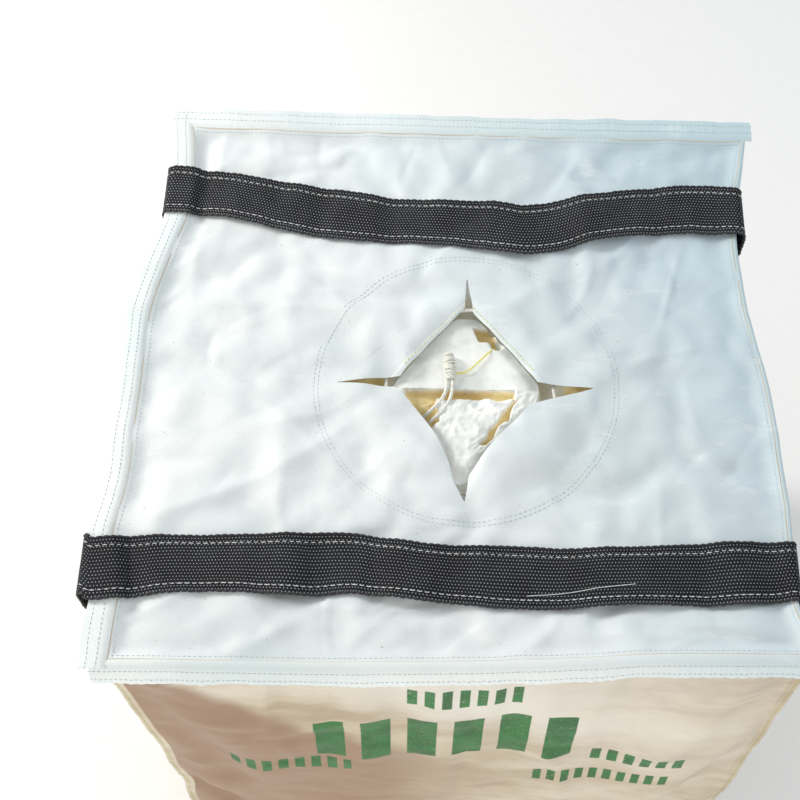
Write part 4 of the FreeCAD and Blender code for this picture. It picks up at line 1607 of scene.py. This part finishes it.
# %% Sew a row of stitches
# pitch, length and width of the thread, and its finish
BELT_STITCH = (9.5 * MM, 7.2 * MM, 1.15 * MM, white_thread)
SEAM_STITCH = (6.5 * MM, 4.6 * MM, 0.8 * MM, grey_thread)


def sew(name, lines, pitch, length, width, thread, slot, body="bag", hinge=None):
    """Stitches along lines of points, made a plain mesh that rides on a body, or stays where it is laid when
    a hinge is given.
    """
    points, edges = [], []
    for line in lines:
        first = len(points)
        points += [tuple(place) for place in line]
        edges += [(first + k, first + k + 1) for k in range(len(line) - 1)]
    rail = bpy.data.meshes.new(name + "_rail")
    rail.from_pydata(points, edges, [])
    piece = bpy.data.objects.new(name, rail)
    bpy.context.scene.collection.objects.link(piece)
    modifier = piece.modifiers.new("stitches", "NODES")
    modifier.node_group = STITCHES
    sizes = {"Pitch": pitch, "Length": length, "Width": width, "Thread": thread}
    for socket in STITCHES.interface.items_tree:
        if socket.name in sizes:
            modifier[socket.identifier] = sizes[socket.name]
    done = piece.evaluated_get(bpy.context.evaluated_depsgraph_get())
    mesh = bpy.data.meshes.new_from_object(done)
    piece.modifiers.clear()
    piece.data = mesh
    bpy.data.meshes.remove(rail)
    mesh.shade_smooth()
    if hinge is None:
        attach(piece, body)
    else:
        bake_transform(piece)
    print(f"{name}: {len(mesh.polygons)} faces")
    return piece


# %% Sew the belts and loops
BELT_ROWS = (0.13, 0.86)  # the two rows of stitches, as shares of the width


def across_grid(grid, share, lift):
    """A line along a band at a share of its width, raised off it."""
    place = share * (len(grid) - 1)
    low = min(int(place), len(grid) - 2)
    raised = grid + normals(grid) * lift
    return raised[low] * (low + 1 - place) + raised[low + 1] * (place - low)


for end in ENDS:
    grid = belt_grids[end]
    lines = [across_grid(grid, share, BELT_PLY / 2 + 0.35 * MM) for share in BELT_ROWS]
    sew(f"belt_stitches_{end}", lines, *BELT_STITCH, "hem_cloth")
    edges = [across_grid(grid, share, 0.2 * MM) for share in (0.0, 1.0)]
    sew(f"belt_edge_{end}", edges, 9.2 * MM, 10.4 * MM, 4.4 * MM, black_yarn, "belt_webbing")
stray = belt_grids["front"]
columns = stray.shape[1]
right_part = slice(int(columns * 0.56), int(columns * 0.63))
wander = [across_grid(stray, share, BELT_PLY / 2 + 0.5 * MM)[right_part] for share in (0.20, 0.34)]
blend_share = np.linspace(0, 1, len(wander[0]))[:, None]
sew(
    "loose_thread_front", [wander[0] * (1 - blend_share) + wander[1] * blend_share],
    4.0 * MM, 6.5 * MM, 1.0 * MM, white_thread, "hem_cloth",
)
for (end, side), grid in loop_grids.items():
    sign = SIGN[side]
    hinge = ((sign * LOOP_FIXED, BELT[end], LOOP_RISE), (sign * LOOP_FREE, BELT[end], LOOP_RISE))
    body = f"lifting_loop_{end}_{side}"
    lines = [across_grid(grid, share, 0.35 * MM) for share in BELT_ROWS]
    sew(f"loop_stitches_{end}_{side}", lines, *BELT_STITCH, "hem_cloth", body, hinge)
    edges = [across_grid(grid, share, -BELT_PLY / 2) for share in (0.0, 1.0)]
    sew(
        f"loop_edge_{end}_{side}", edges, 7.2 * MM, 8.6 * MM, 3.4 * MM, black_yarn,
        "belt_webbing", body, hinge,
    )

# %% Sew the seams, corners, mouth and star
lines = []
for side, grid in hem_grids.items():
    outer = grid + normals(grid) * 0.35 * MM
    lines += [outer[3], outer[6]]
sew("seam_stitches", lines, *SEAM_STITCH, "hem_cloth")
BORDER = 0.006
panel = panels["base"]
inset = np.linspace(BORDER, WIDE - BORDER, 200)
same = np.full_like(inset, BORDER)
rows = ((inset, same), (inset, WIDE - same), (same, inset), (WIDE - same, inset))
border = [panel.at(across, up) + (0, 0, 0.3 * MM) for across, up in rows]
sew("border_stitches", border, *SEAM_STITCH, "hem_cloth")
lines = [grid[3] + normals(grid)[3] * 0.4 * MM for grid in corner_grids.values()]
sew("corner_stitches", lines, 8 * MM, 6 * MM, 1.2 * MM, green_thread, "hem_cloth")
lines = []
for name in ENDS + SIDES:
    panel = panels[name]
    across = np.linspace(0.004, panel.width - 0.004, 160)
    lines.append(panel.at(across, np.full_like(across, MOUTH_DEPTH - 0.008)) + panel.normal * 0.3 * MM)
sew("mouth_stitches", lines, 8 * MM, 6 * MM, 1.0 * MM, white_thread, "hem_cloth")
lines = []
for far, first, last in ((0.2065, 150, 520), (0.2125, 165, 505)):
    turn = np.radians(np.linspace(first, last, 240))
    x, y = STAR.x + far * np.cos(turn), STAR.y + far * np.sin(turn)
    lines.append(np.stack((x, y, base_height(x, y) + 0.25 * MM), axis=-1))
sew("spout_ring_stitches", lines, 7 * MM, 4.8 * MM, 0.75 * MM, grey_thread, "hem_cloth")
for side in SIDES:
    rim = flap_grid("back", side)[-3]
    sew(
        f"flap_stitches_{side}", [rim[8:] + (0, 0, 1.4 * MM)], 7 * MM, 4.5 * MM, 0.9 * MM, yellow_twine,
        "yellow_twine", f"petal_back_{side}",
    )

# %% [markdown]
# ## The floor
#
# A plain pale floor carries the bag and takes its shadow. It is not part of the object.

# %% Lay the floor
floor_paint = Paint("floor")
speckle = floor_paint.noise(floor_paint.place(), 40.0, 3.0, 0.6)
tone = floor_paint.mix(speckle, (0.86, 0.86, 0.85), (0.90, 0.90, 0.89))
floor_mesh = bpy.data.meshes.new("floor")
floor_mesh.from_pydata([(-6, -6, 0), (6, -6, 0), (6, 6, 0), (-6, 6, 0)], [], [(0, 1, 2, 3)])
floor_mesh.materials.append(floor_paint.finish(Base_Color=tone, Roughness=0.85))
floor = bpy.data.objects.new("floor", floor_mesh)
bpy.context.scene.collection.objects.link(floor)
